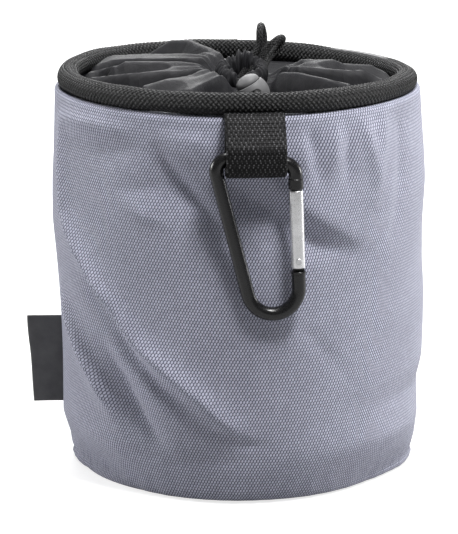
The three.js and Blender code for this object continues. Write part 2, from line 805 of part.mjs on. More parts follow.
const capTop = capBottom + lock.capEdge;
const capRise = lock.halfLength - capTop;
const capRadiusAt = (height) => lock.capRadius * Math.sqrt(1 - ((height - capTop) / capRise) ** 2);
const plungerBlank = turned([
  [0, stemBottom],
  [lock.stemRadius, stemBottom],
  [lock.stemRadius, capBottom],
  [lock.capRadius, capBottom],
  ...domePoints(capRadiusAt, capTop, lock.halfLength),
], lock.sidesCount);
addMesh(
  lockGroup,
  'cord_lock_plunger',
  toGeometry(toSolid(plungerBlank).subtract(crossSlot(slotRise + lock.travel))),
  finishes.lockButton,
);
addMesh(
  lockGroup,
  'cord_lock_spring',
  coilSpring(
    lock.springRadius,
    lock.springWire,
    -lock.pocketFloor + seatGap,
    stemBottom - seatGap,
    lock.springTurns,
  ),
  finishes.springSteel,
);

// Webbing loop: a band hung from under the rim, drawn flat in (outward, up) and bent round the wall
const backFace = wallRadius + seatGap;
const barHeight = flangeTop - hanger.barDrop;
const bendInward = backFace - Math.sqrt(backFace ** 2 - (webbing.width / 2) ** 2);
const loopInner = hook.rodRadius + seatGap + bendInward / 2 + webbing.loopSlack;
const loopOuter = loopInner + webbing.thickness;
const barOutward = webbing.thickness + seatGap + hook.rodRadius;
const barRadius = backFace + barOutward;
const frontGroup = new THREE.Group();
frontGroup.rotation.z = Math.asin(hanger.offsetX / barRadius);
model.add(frontGroup);

function loopBelt(inset) {
  const lower = { x: loopOuter, z: -webbing.loopDrop, radius: loopOuter - inset };
  const middle = { ...lower, z: webbing.loopLift };
  const apexRadius = webbing.apexRadius + webbing.thickness;
  const upper = { x: apexRadius, z: webbing.apexRise, radius: apexRadius - inset };
  return beltOutline([lower, middle, upper], webbing.arcStep);
}

// An outline in (outward, up) carried across the webbing's width and bent round the wall
function acrossWebbing(outline, holes = []) {
  const asVectors = (pairs) => pairs.map(([out, up]) => new THREE.Vector2(out, up));
  const shape = new THREE.Shape(asVectors(outline));
  shape.holes = holes.map((hole) => new THREE.Path(asVectors(hole)));
  const band = new THREE.ExtrudeGeometry(shape, {
    depth: webbing.width,
    steps: webbing.stepsAcross,
    bevelEnabled: false,
  });
  return reshaped(band, (point) => {
    const across = webbing.width / 2 - point.z;
    const bend = backFace - Math.sqrt(backFace ** 2 - across ** 2);
    point.set(across, bend - backFace - point.x, barHeight + point.y);
  });
}

const shoulderCentre = [
  wallRadius - wall.shoulderRadius - backFace,
  flangeTop - wall.shoulderRadius - barHeight,
];
const tongueInner = wall.shoulderRadius + seatGap;
const tongueOuter = tongueInner + webbing.tongueThickness;
const tongueStart = webbing.apexRise + webbing.apexRadius + seatGap;
const tongueOutline = [
  [0, tongueStart],
  [webbing.tongueThickness, tongueStart],
  ...arcPoints(shoulderCentre, tongueOuter, 0, webbing.tongueTurn, webbing.tongueSteps),
  ...arcPoints(shoulderCentre, tongueInner, webbing.tongueTurn, 0, webbing.tongueSteps),
];
const webbingSolid = toSolid(acrossWebbing(loopBelt(0), [loopBelt(webbing.thickness)]))
  .add(toSolid(acrossWebbing(tongueOutline)));
addMesh(frontGroup, 'webbing_loop', toGeometry(webbingSolid), finishes.blackBraid);

// Snap hook: its own frame has x to the right, z up, and the bar's middle at the origin
const hookGroup = new THREE.Group();
hookGroup.position.set(0, -barRadius, barHeight);
frontGroup.add(hookGroup);

// A round rod along a flat polyline of (x, z) points, with flat ends
function bentRod(points, radius, sides) {
  const vertices = [];
  points.forEach(([x, z], index) => {
    const before = points[Math.max(0, index - 1)];
    const after = points[Math.min(points.length - 1, index + 1)];
    const run = Math.hypot(after[0] - before[0], after[1] - before[1]);
    const along = [(after[0] - before[0]) / run, (after[1] - before[1]) / run];
    for (let side = 0; side < sides; side += 1) {
      const angle = (side / sides) * fullTurn;
      const outward = radius * Math.cos(angle);
      const depth = radius * Math.sin(angle);
      vertices.push(new THREE.Vector3(x + along[1] * outward, depth, z - along[0] * outward));
    }
  });
  const faces = [];
  for (let ring = 0; ring < points.length - 1; ring += 1) {
    for (let side = 0; side < sides; side += 1) {
      const here = ring * sides + side;
      const beside = ring * sides + ((side + 1) % sides);
      faces.push(here, beside, here + sides, beside, beside + sides, here + sides);
    }
  }
  const last = (points.length - 1) * sides;
  for (let side = 1; side < sides - 1; side += 1) {
    faces.push(0, side + 1, side, last, last + side, last + side + 1);
  }
  const geometry = new THREE.BufferGeometry().setFromPoints(vertices);
  geometry.setIndex(faces);
  return geometry;
}

const [bottomBelt, rightBelt, leftBelt] = beltRound([hook.bottom, hook.topRight, hook.topLeft]);
const beltPoints = ({ circle, start, sweep }) => arcPoints(
  [circle.x, circle.z], circle.radius, start, start + sweep, Math.ceil(sweep / hook.arcStep),
);
const gateFoot = beltPoints(bottomBelt).at(-1);
const gateHead = beltPoints(rightBelt)[0];
const gateRun = [gateHead[0] - gateFoot[0], gateHead[1] - gateFoot[1]];
const gateLean = Math.atan2(gateRun[0], gateRun[1]);
const pivotHeight = -gate.topDrop - gate.length + gate.pivotInset;
const pivotX = gateFoot[0] + Math.tan(gateLean) * (pivotHeight - gateFoot[1]);
const alongGate = (distance) => [
  pivotX + Math.sin(gateLean) * distance,
  pivotHeight + Math.cos(gateLean) * distance,
];
const gateTop = gate.length - gate.pivotInset;
const noseEnd = gateTop + seatGap;
const footEnd = -gate.pivotInset - seatGap;

// Places a geometry drawn round the gate's pivot, with z along the gate, in the hook's frame
const gatePlacement = new THREE.Matrix4()
  .makeTranslation(pivotX, 0, pivotHeight)
  .multiply(new THREE.Matrix4().makeRotationY(gateLean));
const placed = (geometry) => toSolid(geometry.applyMatrix4(gatePlacement));
const crossPin = (radius, lowY, highY, height) => rod(radius, lowY, highY, gate.pinSides)
  .rotateX(-Math.PI / 2)
  .translate(0, 0, height);

const tongueHalf = hook.tongueThickness / 2;
const tongueReach = hook.tongueWidth / 2;
const bandRadius = hook.rodRadius + hook.bandExtra;
const latchHeight = gateTop - gate.latchInset;
const latchRoom = gate.latchRadius + gate.slotClearance;
const rivetHole = gate.rivetRadius + gate.pinClearance;
const hookRod = toSolid(bentRod([
  alongGate(noseEnd),
  ...beltPoints(rightBelt),
  ...beltPoints(leftBelt),
  ...beltPoints(bottomBelt),
  alongGate(footEnd),
], hook.rodRadius, hook.rodSides));
const noseTongue = block(
  -tongueReach, tongueReach, -tongueHalf, tongueHalf, noseEnd - hook.noseReach, noseEnd + overrun,
);
const footTongue = block(-tongueReach, tongueReach, -tongueHalf, tongueHalf, footEnd - overrun, 0);
const cutHalf = tongueHalf + overrun;
const latchNotch = block(
  -tongueReach - overrun, 0, -cutHalf, cutHalf, latchHeight - latchRoom, latchHeight + latchRoom,
);
const hookSolid = hookRod
  .add(placed(rod(bandRadius, noseEnd, noseEnd + hook.noseBandHeight, gate.sidesCount)))
  .add(placed(rod(bandRadius, footEnd - hook.footBandHeight, footEnd, gate.sidesCount)))
  .add(placed(noseTongue))
  .add(placed(footTongue))
  .add(placed(crossPin(tongueReach, -tongueHalf, tongueHalf, 0)))
  .subtract(placed(latchNotch))
  .subtract(placed(crossPin(latchRoom, -cutHalf, cutHalf, latchHeight)))
  .subtract(placed(crossPin(rivetHole, -cutHalf, cutHalf, 0)));
addMesh(hookGroup, 'carabiner_body', toGeometry(hookSolid), finishes.blackRod);

// Gate: a rod slotted at both ends, bored for its spring, on a rivet through the foot tongue
const gateGroup = new THREE.Group();
gateGroup.position.set(pivotX, 0, pivotHeight);
gateGroup.rotation.y = gateLean;
hookGroup.add(gateGroup);

const slotThickness = tongueHalf + gate.slotClearance;
const slotFloor = gate.bottomSlotDepth - gate.pivotInset;
const domeAngle = Math.asin(gate.radius / gate.pivotInset);
const gateDome = arcPoints([0, 0], gate.pivotInset, -Math.PI / 2, -Math.PI / 2 + domeAngle, gate.domeSteps);
gateDome[0] = [0, -gate.pivotInset];
const gateEdge = [gate.radius - gate.edgeRadius, gateTop - gate.edgeRadius];
const gateBlank = turned([
  ...gateDome,
  ...arcPoints(gateEdge, gate.edgeRadius, 0, Math.PI / 2, gate.edgeSteps),
  [0, gateTop],
], gate.sidesCount);
const gateReach = gate.radius + overrun;
const topSlot = block(
  -gateReach, gateReach, -slotThickness, slotThickness, gateTop - gate.topSlotDepth, gateTop + overrun,
);
const bottomSlot = block(
  -gateReach, gateReach, -slotThickness, slotThickness, -gate.pivotInset - overrun, slotFloor,
);
const latchDepth = gate.radius - gate.latchCover;
const gateSolid = toSolid(gateBlank)
  .subtract(toSolid(topSlot))
  .subtract(toSolid(bottomSlot))
  .subtract(toSolid(rod(gate.boreRadius, 0, slotFloor + gate.boreLength, gate.pinSides)))
  .subtract(toSolid(crossPin(gate.latchRadius + gate.pinClearance, -latchDepth, gateReach, latchHeight)))
  .subtract(toSolid(crossPin(rivetHole, -gateReach, gateReach, 0)));
addMesh(gateGroup, 'carabiner_gate', toGeometry(gateSolid), finishes.bareMetal);

const headStart = gate.radius + gate.pinClearance;
const headEnd = headStart + gate.rivetHeadHeight;
const rivet = turned([
  [0, -headEnd],
  [gate.rivetHeadRadius, -headEnd],
  [gate.rivetHeadRadius, -headStart],
  [gate.rivetRadius, -headStart],
  [gate.rivetRadius, headStart],
  [gate.rivetHeadRadius, headStart],
  [gate.rivetHeadRadius, headEnd],
  [0, headEnd],
], gate.pinSides).rotateX(-Math.PI / 2);
addMesh(gateGroup, 'gate_pivot_rivet', rivet, finishes.bareMetal);
addMesh(
  gateGroup,
  'gate_latch_pin',
  crossPin(gate.latchRadius, -latchDepth + gate.pinClearance, latchDepth, latchHeight),
  finishes.bareMetal,
);
const pusherStart = tongueReach + seatGap;
const pusherEnd = pusherStart + gate.pusherLength;
const pusher = rod(gate.pusherRadius, pusherStart, pusherEnd, gate.pinSides);
addMesh(gateGroup, 'gate_plunger', pusher, finishes.springSteel);
const gateSpringRadius = gate.boreRadius - seatGap - gate.springWire / 2;
addMesh(
  gateGroup,
  'gate_spring',
  coilSpring(
    gateSpringRadius,
    gate.springWire,
    pusherEnd + seatGap,
    slotFloor + gate.boreLength - seatGap,
    gate.springTurns,
  ),
  finishes.springSteel,
);

// Side label: a folded strip that stands out of the left seam and follows the wall's draw-in
const seamAt = (height) => {
  const point = new THREE.Vector3(-wallRadius, 0, height);
  shellSway(point);
  return -point.x + seatGap;
};
const labelTop = label.bottomHeight + label.height;
const labelHeights = Array.from(
  { length: label.edgeSteps + 1 },
  (_, step) => label.bottomHeight + (label.height * step) / label.edgeSteps,
);
const labelOutline = [
  ...labelHeights.map((height) => [-seamAt(height), height]),
  [-seamAt(labelTop) - label.reach, labelTop],
  [-seamAt(label.bottomHeight) - label.reach, label.bottomHeight],
];
const labelShape = new THREE.Shape(labelOutline.map(([x, z]) => new THREE.Vector2(x, z)));
const labelGeometry = new THREE.ExtrudeGeometry(labelShape, { depth: label.thickness, bevelEnabled: false })
  .rotateX(Math.PI / 2)
  .translate(0, label.thickness / 2, 0);
addMesh(model, 'side_label', labelGeometry, finishes.labelCloth);

export default model;
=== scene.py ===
"""A peg bag with a gathered mouth and a snap hook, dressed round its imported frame."""

import math
from functools import partialmethod

import bpy
import numpy as np
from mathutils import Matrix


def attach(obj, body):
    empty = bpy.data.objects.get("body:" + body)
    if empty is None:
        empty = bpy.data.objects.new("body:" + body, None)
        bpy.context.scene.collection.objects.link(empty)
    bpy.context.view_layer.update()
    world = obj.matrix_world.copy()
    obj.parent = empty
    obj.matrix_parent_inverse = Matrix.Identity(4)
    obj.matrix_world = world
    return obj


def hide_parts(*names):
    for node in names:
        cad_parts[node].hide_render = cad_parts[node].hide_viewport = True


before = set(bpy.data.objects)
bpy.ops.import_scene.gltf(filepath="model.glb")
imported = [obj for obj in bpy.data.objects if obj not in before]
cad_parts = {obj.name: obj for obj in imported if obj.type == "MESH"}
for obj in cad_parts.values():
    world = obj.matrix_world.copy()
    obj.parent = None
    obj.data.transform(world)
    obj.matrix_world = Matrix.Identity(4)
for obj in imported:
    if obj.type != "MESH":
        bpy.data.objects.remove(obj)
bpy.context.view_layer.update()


# Camera: it stands 1.3 m in front of the bag, a little above the rim, and looks down 13 degrees.
# Its focal length is worked out from the picture's height of 534 pixels.
picture_height = 534
focal_pixels = 3023
look_down = math.radians(12.96)
camera_data = bpy.data.cameras.new("camera")
camera_data.sensor_fit = "VERTICAL"
camera_data.sensor_height = 36
camera_data.lens = camera_data.sensor_height * focal_pixels / picture_height
camera_data.clip_end = 20
camera = bpy.data.objects.new("camera", camera_data)
camera.location = (-0.0036, -1.3, 0.3845)
camera.rotation_euler = (math.pi / 2 - look_down, 0, 0)
bpy.context.collection.objects.link(camera)
bpy.context.scene.camera = camera
bpy.context.scene.view_settings.view_transform = "Standard"


# Draw cord: 457 mm of 3 mm round braid. From the left knot it runs through the ball lock and the
# left half of the casing, stands up in two loops at the back, hangs slack inside the bag, and
# comes back through the right half and the lock to the right knot.
millimetre = 0.001
full_turn, quarter_turn = 2 * math.pi, math.pi / 2


class Signal:
    """An output of a shader node. Python's signs on it add Math nodes to its tree, and a name or
    number in square brackets gives another output of the same node."""

    def __init__(self, socket):
        self.socket = socket
        self.tree = socket.id_data

    def __getitem__(self, name):
        return Signal(self.socket.node.outputs[name])

    def calc(self, operation, *others):
        """The result of one Math node on this signal and on others or plain numbers."""
        return add_node(self.tree, "Math", dict(enumerate((self, *others))), operation=operation)

    __add__ = partialmethod(calc, "ADD")
    __sub__ = partialmethod(calc, "SUBTRACT")
    __mul__ = partialmethod(calc, "MULTIPLY")
    __truediv__ = partialmethod(calc, "DIVIDE")
    __mod__ = partialmethod(calc, "FLOORED_MODULO")
    __pow__ = partialmethod(calc, "POWER")


def feed(node, inputs):
    """Sets a node's inputs to plain values and links those that are given as signals."""
    for name, value in inputs.items():
        if isinstance(value, Signal):
            node.id_data.links.new(value.socket, node.inputs[name])
        else:
            node.inputs[name].default_value = value


def add_node(tree, kind, inputs=None, **settings):
    """A new shader node with those settings and inputs; returns its first output."""
    made = tree.nodes.new("ShaderNode" + kind)
    for name, value in settings.items():
        setattr(made, name, value)
    feed(made, inputs or {})
    return Signal(made.outputs[0])


def ramp(value, low, high, out_low=0.0, out_high=1.0):
    """A smooth step of value from low to high, carried to the range from out_low to out_high."""
    inputs = {"Value": value, "From Min": low, "From Max": high, "To Min": out_low, "To Max": out_high}
    return add_node(value.tree, "MapRange", inputs, interpolation_type="SMOOTHSTEP")


def mixed(share, low, high):
    """The colour between low and high at that share."""
    return add_node(share.tree, "Mix", {0: share, 6: (*low, 1), 7: (*high, 1)}, data_type="RGBA")[2]


def noise(place, scale, detail, **more):
    """A noise field, about 0 to 1, over a place."""
    return add_node(place.tree, "TexNoise", {"Vector": place, "Scale": scale, "Detail": detail, **more})


def cell_chance(across, up):
    """A random number from 0 to 1 for each pair of whole numbers."""
    cell = add_node(across.tree, "CombineXYZ", {0: across, 1: up})
    return add_node(cell.tree, "TexWhiteNoise", {"Vector": cell}, noise_dimensions="2D")["Value"]


def bump(height, depth):
    """The normal from a height whose unit stands for depth in millimetres."""
    return add_node(height.tree, "Bump", {"Distance": depth * millimetre, "Height": height})


def own_uv(tree):
    """The piece's own UV map, then its across and up parts."""
    uv = add_node(tree, "UVMap", uv_map="UVMap")
    split = add_node(tree, "SeparateXYZ", {0: uv})
    return uv, split["X"], split["Y"]


def new_group(name, *inputs):
    """A shader node group with those number inputs; returns it and its first input."""
    group = bpy.data.node_groups.new(name, "ShaderNodeTree")
    for socket in inputs:
        group.interface.new_socket(name=socket, in_out="INPUT", socket_type="NodeSocketFloat")
    return group, Signal(group.nodes.new("NodeGroupInput").outputs[0])


def end_group(group, results):
    """Gives a node group its outputs, each fed by a signal."""
    for name in results:
        group.interface.new_socket(name=name, in_out="OUTPUT", socket_type="NodeSocketFloat")
    feed(group.nodes.new("NodeGroupOutput"), results)


def new_material(name):
    """A node material; returns it, its tree and its Principled shader."""
    made = bpy.data.materials.new(name)
    made.use_nodes = True
    return made, made.node_tree, made.node_tree.nodes["Principled BSDF"]


def plait(along, around):
    """Height of a diamond plait, 0 to 1. Two families of strands cross: left = along + around and
    right = along - around. The strand on top changes with the parity of both whole parts. It is
    round across, as the root of 1 - a^2, and dips to both ends of its float, as a cosine."""
    left, right = along + around, along - around
    over = (np.floor(left) + np.floor(right)) % 2
    across = np.where(over > 0, left, right) % 1 - 0.5
    run = np.where(over > 0, right, left) % 1 - 0.5
    return np.sqrt(1 - 3.4 * across**2) * (0.7 + 0.3 * np.cos(full_turn * run))


plait_group, strand = new_group("plait", "Along", "Around")
left, right = strand["Along"] + strand["Around"], strand["Along"] - strand["Around"]
left_cell, right_cell = left.calc("FLOOR"), right.calc("FLOOR")
swap = (left - right) * ((left_cell + right_cell) % 2.0)
across = (swap + right).calc("FRACT") - 0.5
run = (left - swap).calc("FRACT") - 0.5
bow = across * across * -3.4 + 1.0
dip = (run * full_turn).calc("COSINE") * 0.3 + 0.7
end_group(plait_group, {
    "Height": bow.calc("SQRT") * dip,
    "Fibre": (across * 34.0).calc("SINE") * 0.5 + 0.5,
    "Chance": cell_chance(left_cell, right_cell),
})


def braid_material(name, groove, crown, depth):
    """Braided yarn in strand units of the piece's UV map: painted shade in the grooves, painted
    highlights on the crowns, and each float of its own tone."""
    made, tree, shader = new_material(name)
    uv, along, around = own_uv(tree)
    strands = add_node(tree, "Group", {"Along": along, "Around": around}, node_tree=plait_group)
    # The colour follows the plait's relief: painted shade low in the grooves, painted highlights on the
    # crowns and the fibres' ridges, with a random tone per float and a slow random mottle.
    share = ramp(strands["Height"], 0.35, 0.98) * ramp(noise(uv, 0.7, 3.0), 0.2, 0.8, 0.6, 1.0)
    share = share * (strands["Fibre"] * 0.35 + 0.65) * (strands["Chance"] * 0.85 + 0.15)
    feed(shader, {
        "Base Color": mixed(share, groove, crown),
        "Roughness": ramp(strands["Fibre"], 0.0, 1.0, 0.62, 0.42),
        "Specular IOR Level": 0.3,
        "Normal": bump(strands["Fibre"] * 0.12 + strands["Height"], depth),
    })
    return made


# Its dark colour is painted shade in the grooves, its pale one a painted highlight on the crowns.
cord_braid = braid_material("cord_braid", (0.002, 0.002, 0.0024), (0.05, 0.05, 0.053), 0.6)


def grid_part(points, uv, wrap_rows=False, wrap_columns=False, caps=False):
    """Quads through a (rows, columns, 3) grid in millimetres, with caps on its first and last row
    if asked. The side on which the columns' run crosses the rows' run is outside. uv has one more
    row or column than points where it wraps. A part is its points, its arrays of faces and the UV
    place of each face corner."""
    rows, columns = points.shape[:2]
    row, column = np.indices((rows - (not wrap_rows), columns - (not wrap_columns))).reshape(2, -1)
    corners = ((0, 0), (0, 1), (1, 1), (1, 0))
    quads = [(row + down) % rows * columns + (column + over) % columns for down, over in corners]
    faces = [np.stack(quads, axis=1)]
    places = np.stack([uv[row + down, column + over] for down, over in corners], axis=1).reshape(-1, 2)
    if caps:
        ring = np.arange(columns)[None]
        faces += [ring[:, ::-1], ring + (rows - 1) * columns]
        places = np.concatenate([places, uv[0, :columns][::-1], uv[rows - 1, :columns]])
    return points.reshape(-1, 3), faces, places


def new_piece(name, parts, material, sharp=None):
    """One mesh object of several parts in millimetres, smooth but for edges over the sharp angle."""
    faces = []
    start = 0
    for points, face_arrays, _ in parts:
        for face_array in face_arrays:
            faces.extend((face_array + start).tolist())
        start += len(points)
    points = np.concatenate([part[0] for part in parts]) * millimetre
    places = np.concatenate([part[2] for part in parts]).astype(np.float32)
    mesh = bpy.data.meshes.new(name)
    mesh.from_pydata(points.tolist(), [], faces)
    mesh.uv_layers.new(name="UVMap").uv.foreach_set("vector", places.ravel())
    mesh.materials.append(material)
    mesh.shade_smooth()
    if sharp is not None:
        mesh.set_sharp_from_angle(angle=math.radians(sharp))
    mesh.validate()
    piece = bpy.data.objects.new(name, mesh)
    bpy.context.collection.objects.link(piece)
    return piece


def round_steps(count, start=0.0):
    """Angles at equal steps once round from the start."""
    return start + np.linspace(0, full_turn, count, endpoint=False)


def unit(vectors):
    """Vectors of length 1."""
    return vectors / np.linalg.norm(vectors, axis=-1, keepdims=True)


def run_along(line):
    """The way along a polyline to each of its points."""
    return np.concatenate([[0], np.cumsum(np.linalg.norm(np.diff(line, axis=0), axis=1))])


def evenly(line, count):
    """Count points at equal steps along a polyline."""
    run = run_along(line)
    return np.stack([np.interp(np.linspace(0, run[-1], count), run, values) for values in line.T], axis=1)


def catmull_rom(points, steps):
    """A centripetal Catmull-Rom curve: between two points a cubic whose end slopes come from the
    neighbours, with knots spaced by the root of the distance."""
    padded = np.concatenate([[2 * points[0] - points[1]], points, [2 * points[-1] - points[-2]]])
    a, b, c, d = padded[:-3], padded[1:-2], padded[2:-1], padded[3:]
    first, middle, third = (
        np.sqrt(np.linalg.norm(step, axis=1, keepdims=True)) for step in (b - a, c - b, d - c)
    )
    slope_b = ((b - a) / first - (c - a) / (first + middle) + (c - b) / middle) * middle
    slope_c = ((c - b) / middle - (d - b) / (middle + third) + (d - c) / third) * middle
    share = (np.arange(steps) / steps)[None, :, None]
    b, c, slope_b, slope_c = b[:, None], c[:, None], slope_b[:, None], slope_c[:, None]
    square, cube = 3 * (c - b) - 2 * slope_b - slope_c, 2 * (b - c) + slope_b + slope_c
    curve = b + slope_b * share + square * share**2 + cube * share**3
    return np.concatenate([curve.reshape(-1, 3), points[-1:]])


def mirrored(vector, along):
    """A vector v mirrored in the plane square to a direction d: v - 2 (d.v / d.d) d."""
    return vector - 2 * np.dot(along, vector) / np.dot(along, along) * along


def untwisted(path):
    """A path's tangents, and a cross direction carried along it without twist: each step reflects
    the last one twice, over the step and over the change of tangent."""
    tangents = unit(np.gradient(path, axis=0))
    sides = [unit(np.cross(tangents[0], [0.3, 0.5, 0.8]))]
    for step, tangent, following in zip(np.diff(path, axis=0), tangents, tangents[1:]):
        side = mirrored(sides[-1], step)
        change = following - mirrored(tangent, step)
        if np.dot(change, change) > 1e-12:
            side = mirrored(side, change)
        sides.append(side)
    return tangents, unit(np.array(sides))


def tube_part(path, radii, sides, tangents, normals, uv, wrap=False):
    """A tube round a path: centre + r (cos a N + sin a B), where radii is one number or a grid."""
    angle = round_steps(sides)[:, None]
    ring = normals[:, None] * np.cos(angle) + np.cross(tangents, normals)[:, None] * np.sin(angle)
    radii = np.broadcast_to(radii, (len(path), sides))[..., None]
    return grid_part(path[:, None] + ring * radii, uv, wrap_rows=wrap, wrap_columns=True, caps=not wrap)


def plain_uv(rows, columns, height=1.0, width=1.0):
    """UV places whose first part runs down the rows to height, and the second across to width."""
    down, over = np.linspace(0, height, rows), np.linspace(0, width, columns)
    return np.stack(np.meshgrid(down, over, indexing="ij"), axis=-1)


casing_middle = np.array([2, 0, 171.5])
casing_radius = 8.7
casing_tilt = math.tan(math.radians(12))


def on_casing(degrees):
    """Points of the tilted casing ring at angles counted from +X."""
    angle = np.radians(degrees)
    across, back = casing_radius * np.cos(angle), casing_radius * np.sin(angle)
    return casing_middle + np.stack([across, back, casing_tilt * back], axis=-1)


rim_height = 171
cord_diameter = 3
loops_over_rim = np.array([
    (1.4, 9.4, 2.9), (6, 12.4, 4.2), (10.8, 17.6, 7.4), (11.8, 19.8, 13), (11.1, 18, 17.6),
    (10.3, 13.5, 19.6), (9.8, 9.6, 17.8), (9.6, 8.9, 12.6), (7.8, 8.6, 7), (3.6, 7.4, 1.2),
    (0.2, 2.7, -5), (-1.7, 1.8, -21), (-3.6, 1, -50), (-4.8, 0.4, -81), (-5.1, 0.2, -110),
    (-2.8, 0.2, -115.6), (2.9, 0.2, -118), (8.6, 0.2, -115.6), (10.9, 0.2, -110), (10.6, 0.4, -81),
    (9, 0.8, -51), (6.4, 1.4, -21), (4.9, 1.8, -4.2), (6.6, 5, 1.6), (9.6, 7.6, 5.6), (12.6, 8.4, 9.8),
    (15.9, 9.2, 13), (18.6, 11.4, 14.5), (19.9, 14.8, 13.6), (18.4, 16, 10.2), (15.6, 15.4, 7),
    (13.2, 12.4, 4.6), (11.9, 8, 2.6),
]) + [0, 0, rim_height]
lane_steps = (-35, -29, -22, -14.7)
cord_route = np.concatenate([
    [(3.348, -40.4, 166.075), *((5.198, y, 166.075) for y in lane_steps), (3.5, -10.6, 168)],
    on_casing([-108, -140, -172, 156, 124]),
    loops_over_rim,
    on_casing([14, -20]),
    [(9.3, -8.6, 168.6), *((8.402, y, 167.925) for y in lane_steps[::-1]), (10.252, -40.4, 167)],
])
cord_cells, cord_plaits, steps_per_cell = 288, 6, 5
cord_rings, cord_sides = cord_cells * steps_per_cell + 1, cord_plaits * steps_per_cell
cord_path = evenly(catmull_rom(cord_route, 60), cord_rings)
cord_uv = plain_uv(cord_rings, cord_sides + 1, cord_cells, cord_plaits)
cord_radii = cord_diameter / 2 + 0.16 * (plait(cord_uv[:, :-1, 0], cord_uv[:, :-1, 1]) - 0.6)
cord_part = tube_part(cord_path, cord_radii, cord_sides, *untwisted(cord_path), cord_uv)
knot_reach, knot_radius, knot_rings, knot_sides = 0.55, 1.25, 120, 18


def knot_part(centre):
    """A tight overhand knot: a trefoil (sin t + 2 sin 2t, cos t - 2 cos 2t, -sin 3t) as a tube."""
    turn = round_steps(knot_rings)
    line = np.stack([
        np.sin(turn) + 2 * np.sin(2 * turn), -0.9 * np.sin(3 * turn), np.cos(turn) - 2 * np.cos(2 * turn),
    ], axis=1) * knot_reach
    tangents = unit(np.roll(line, -1, axis=0) - np.roll(line, 1, axis=0))
    side = unit(np.cross(tangents, line + [0.01, 0, 0]))
    knot_uv = plain_uv(knot_rings + 1, knot_sides + 1, 24, 6)
    return tube_part(line + centre, knot_radius, knot_sides, tangents, side, knot_uv, wrap=True)


draw_cord = new_piece("draw_cord_braid", [cord_part], cord_braid)
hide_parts("draw_cord")
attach(draw_cord, "bag")
cord_knots = new_piece("draw_cord_knots", [knot_part(end) for end in cord_route[[0, -1]]], cord_braid)
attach(cord_knots, "bag")


# Floor and light: a white table and a white room, a soft lamp overhead, one above the front, one at
# each side and one above the back. Camera and transmission rays see the room at its full white, mirror
# rays at a quarter of it.
white = (1, 1, 1, 1)
glossy_share = 0.25
floor_material, tree, shader = new_material("white_table")
rays = add_node(tree, "LightPath")
seen = rays["Is Camera Ray"].calc("MAXIMUM", rays["Is Glossy Ray"] * glossy_share)
place = add_node(tree, "TexCoord")["Object"]
distance = add_node(tree, "VectorMath", {0: place}, operation="LENGTH")["Value"]
# The floor glows as a white backdrop for camera rays and dimly for mirror rays. Near the bag its glow
# falls to three quarters, which paints shade on the floor round the bag.
feed(shader, {
    "Base Color": (0.35, 0.35, 0.35, 1),
    "Roughness": 0.7,
    "Emission Color": white,
    "Emission Strength": seen * ramp(distance, 0.08, 0.7, 0.75, 1.0),
})
floor_ends, floor_height = (-6000, 6000), -0.3
floor_points = np.array([[(x, y, floor_height) for x in floor_ends] for y in floor_ends])
floor = new_piece("floor", [grid_part(floor_points, plain_uv(2, 2))], floor_material)

world = bpy.data.worlds.new("white_room")
bpy.context.scene.world = world
world.use_nodes = True
tree = world.node_tree
rays = add_node(tree, "LightPath")
direct = rays["Is Camera Ray"].calc("MAXIMUM", rays["Is Transmission Ray"])
plain_sight = direct.calc("MAXIMUM", rays["Is Glossy Ray"] * glossy_share)
feed(tree.nodes["Background"], {"Color": white, "Strength": plain_sight.calc("MAXIMUM", 0.08)})

lamps = {
    "over_lamp": ((0, 0.1, 1.5), 0.8, 17),
    "top_lamp": ((0.38, -0.55, 1.35), 0.35, 23),
    "left_lamp": ((-1.2, 0.2, 0.4), 0.4, 9.5),
    "right_lamp": ((1.2, 0.3, 0.3), 0.4, 9),
    "back_lamp": ((0, 1.0, 0.9), 0.8, 14),
}
for name, (place, size, watts) in lamps.items():
    lamp_data = bpy.data.lights.new(name, "AREA")
    lamp_data.size = size
    lamp_data.energy = watts
    lamp = bpy.data.objects.new(name, lamp_data)
    lamp.location = place
    aim = np.array([0, 0, 0.1]) - place
    lamp.rotation_euler = (
        math.atan2(math.hypot(aim[0], aim[1]), -aim[2]), 0, math.atan2(aim[1], aim[0]) - quarter_turn
    )
    bpy.context.collection.objects.link(lamp)


# Shell wall: grey-blue coated polyester with pale woven flecks, one piece sewn into a tube at the
# left seam, turned in under the rim and round the base. It stands in soft, slack folds.
wall_radius = 80
wall_top = 166.2
wall_columns = 300
fleck_across, fleck_up = 1.33, 1.25

fleck_group, fleck_in = new_group("flecks", "Across", "Up")
row = fleck_in["Up"].calc("FLOOR")
shifted = fleck_in["Across"] + row % 2.0 * 0.5
cell_across = shifted.calc("FRACT") - 0.5
cell_up = fleck_in["Up"].calc("FRACT") - 0.5
lean = cell_up * -0.16 + cell_across
ellipse = (lean.calc("ABSOLUTE") / 0.36) ** 2.0 + (cell_up.calc("ABSOLUTE") / 0.54) ** 2.0
end_group(fleck_group, {
    "Fleck": ramp(ellipse, 1.35, 0.45),
    "Height": (ellipse * -1.0 + 1.4).calc("MAXIMUM", 0.0).calc("SQRT"),
    "Tone": cell_chance(shifted.calc("FLOOR"), row),
})

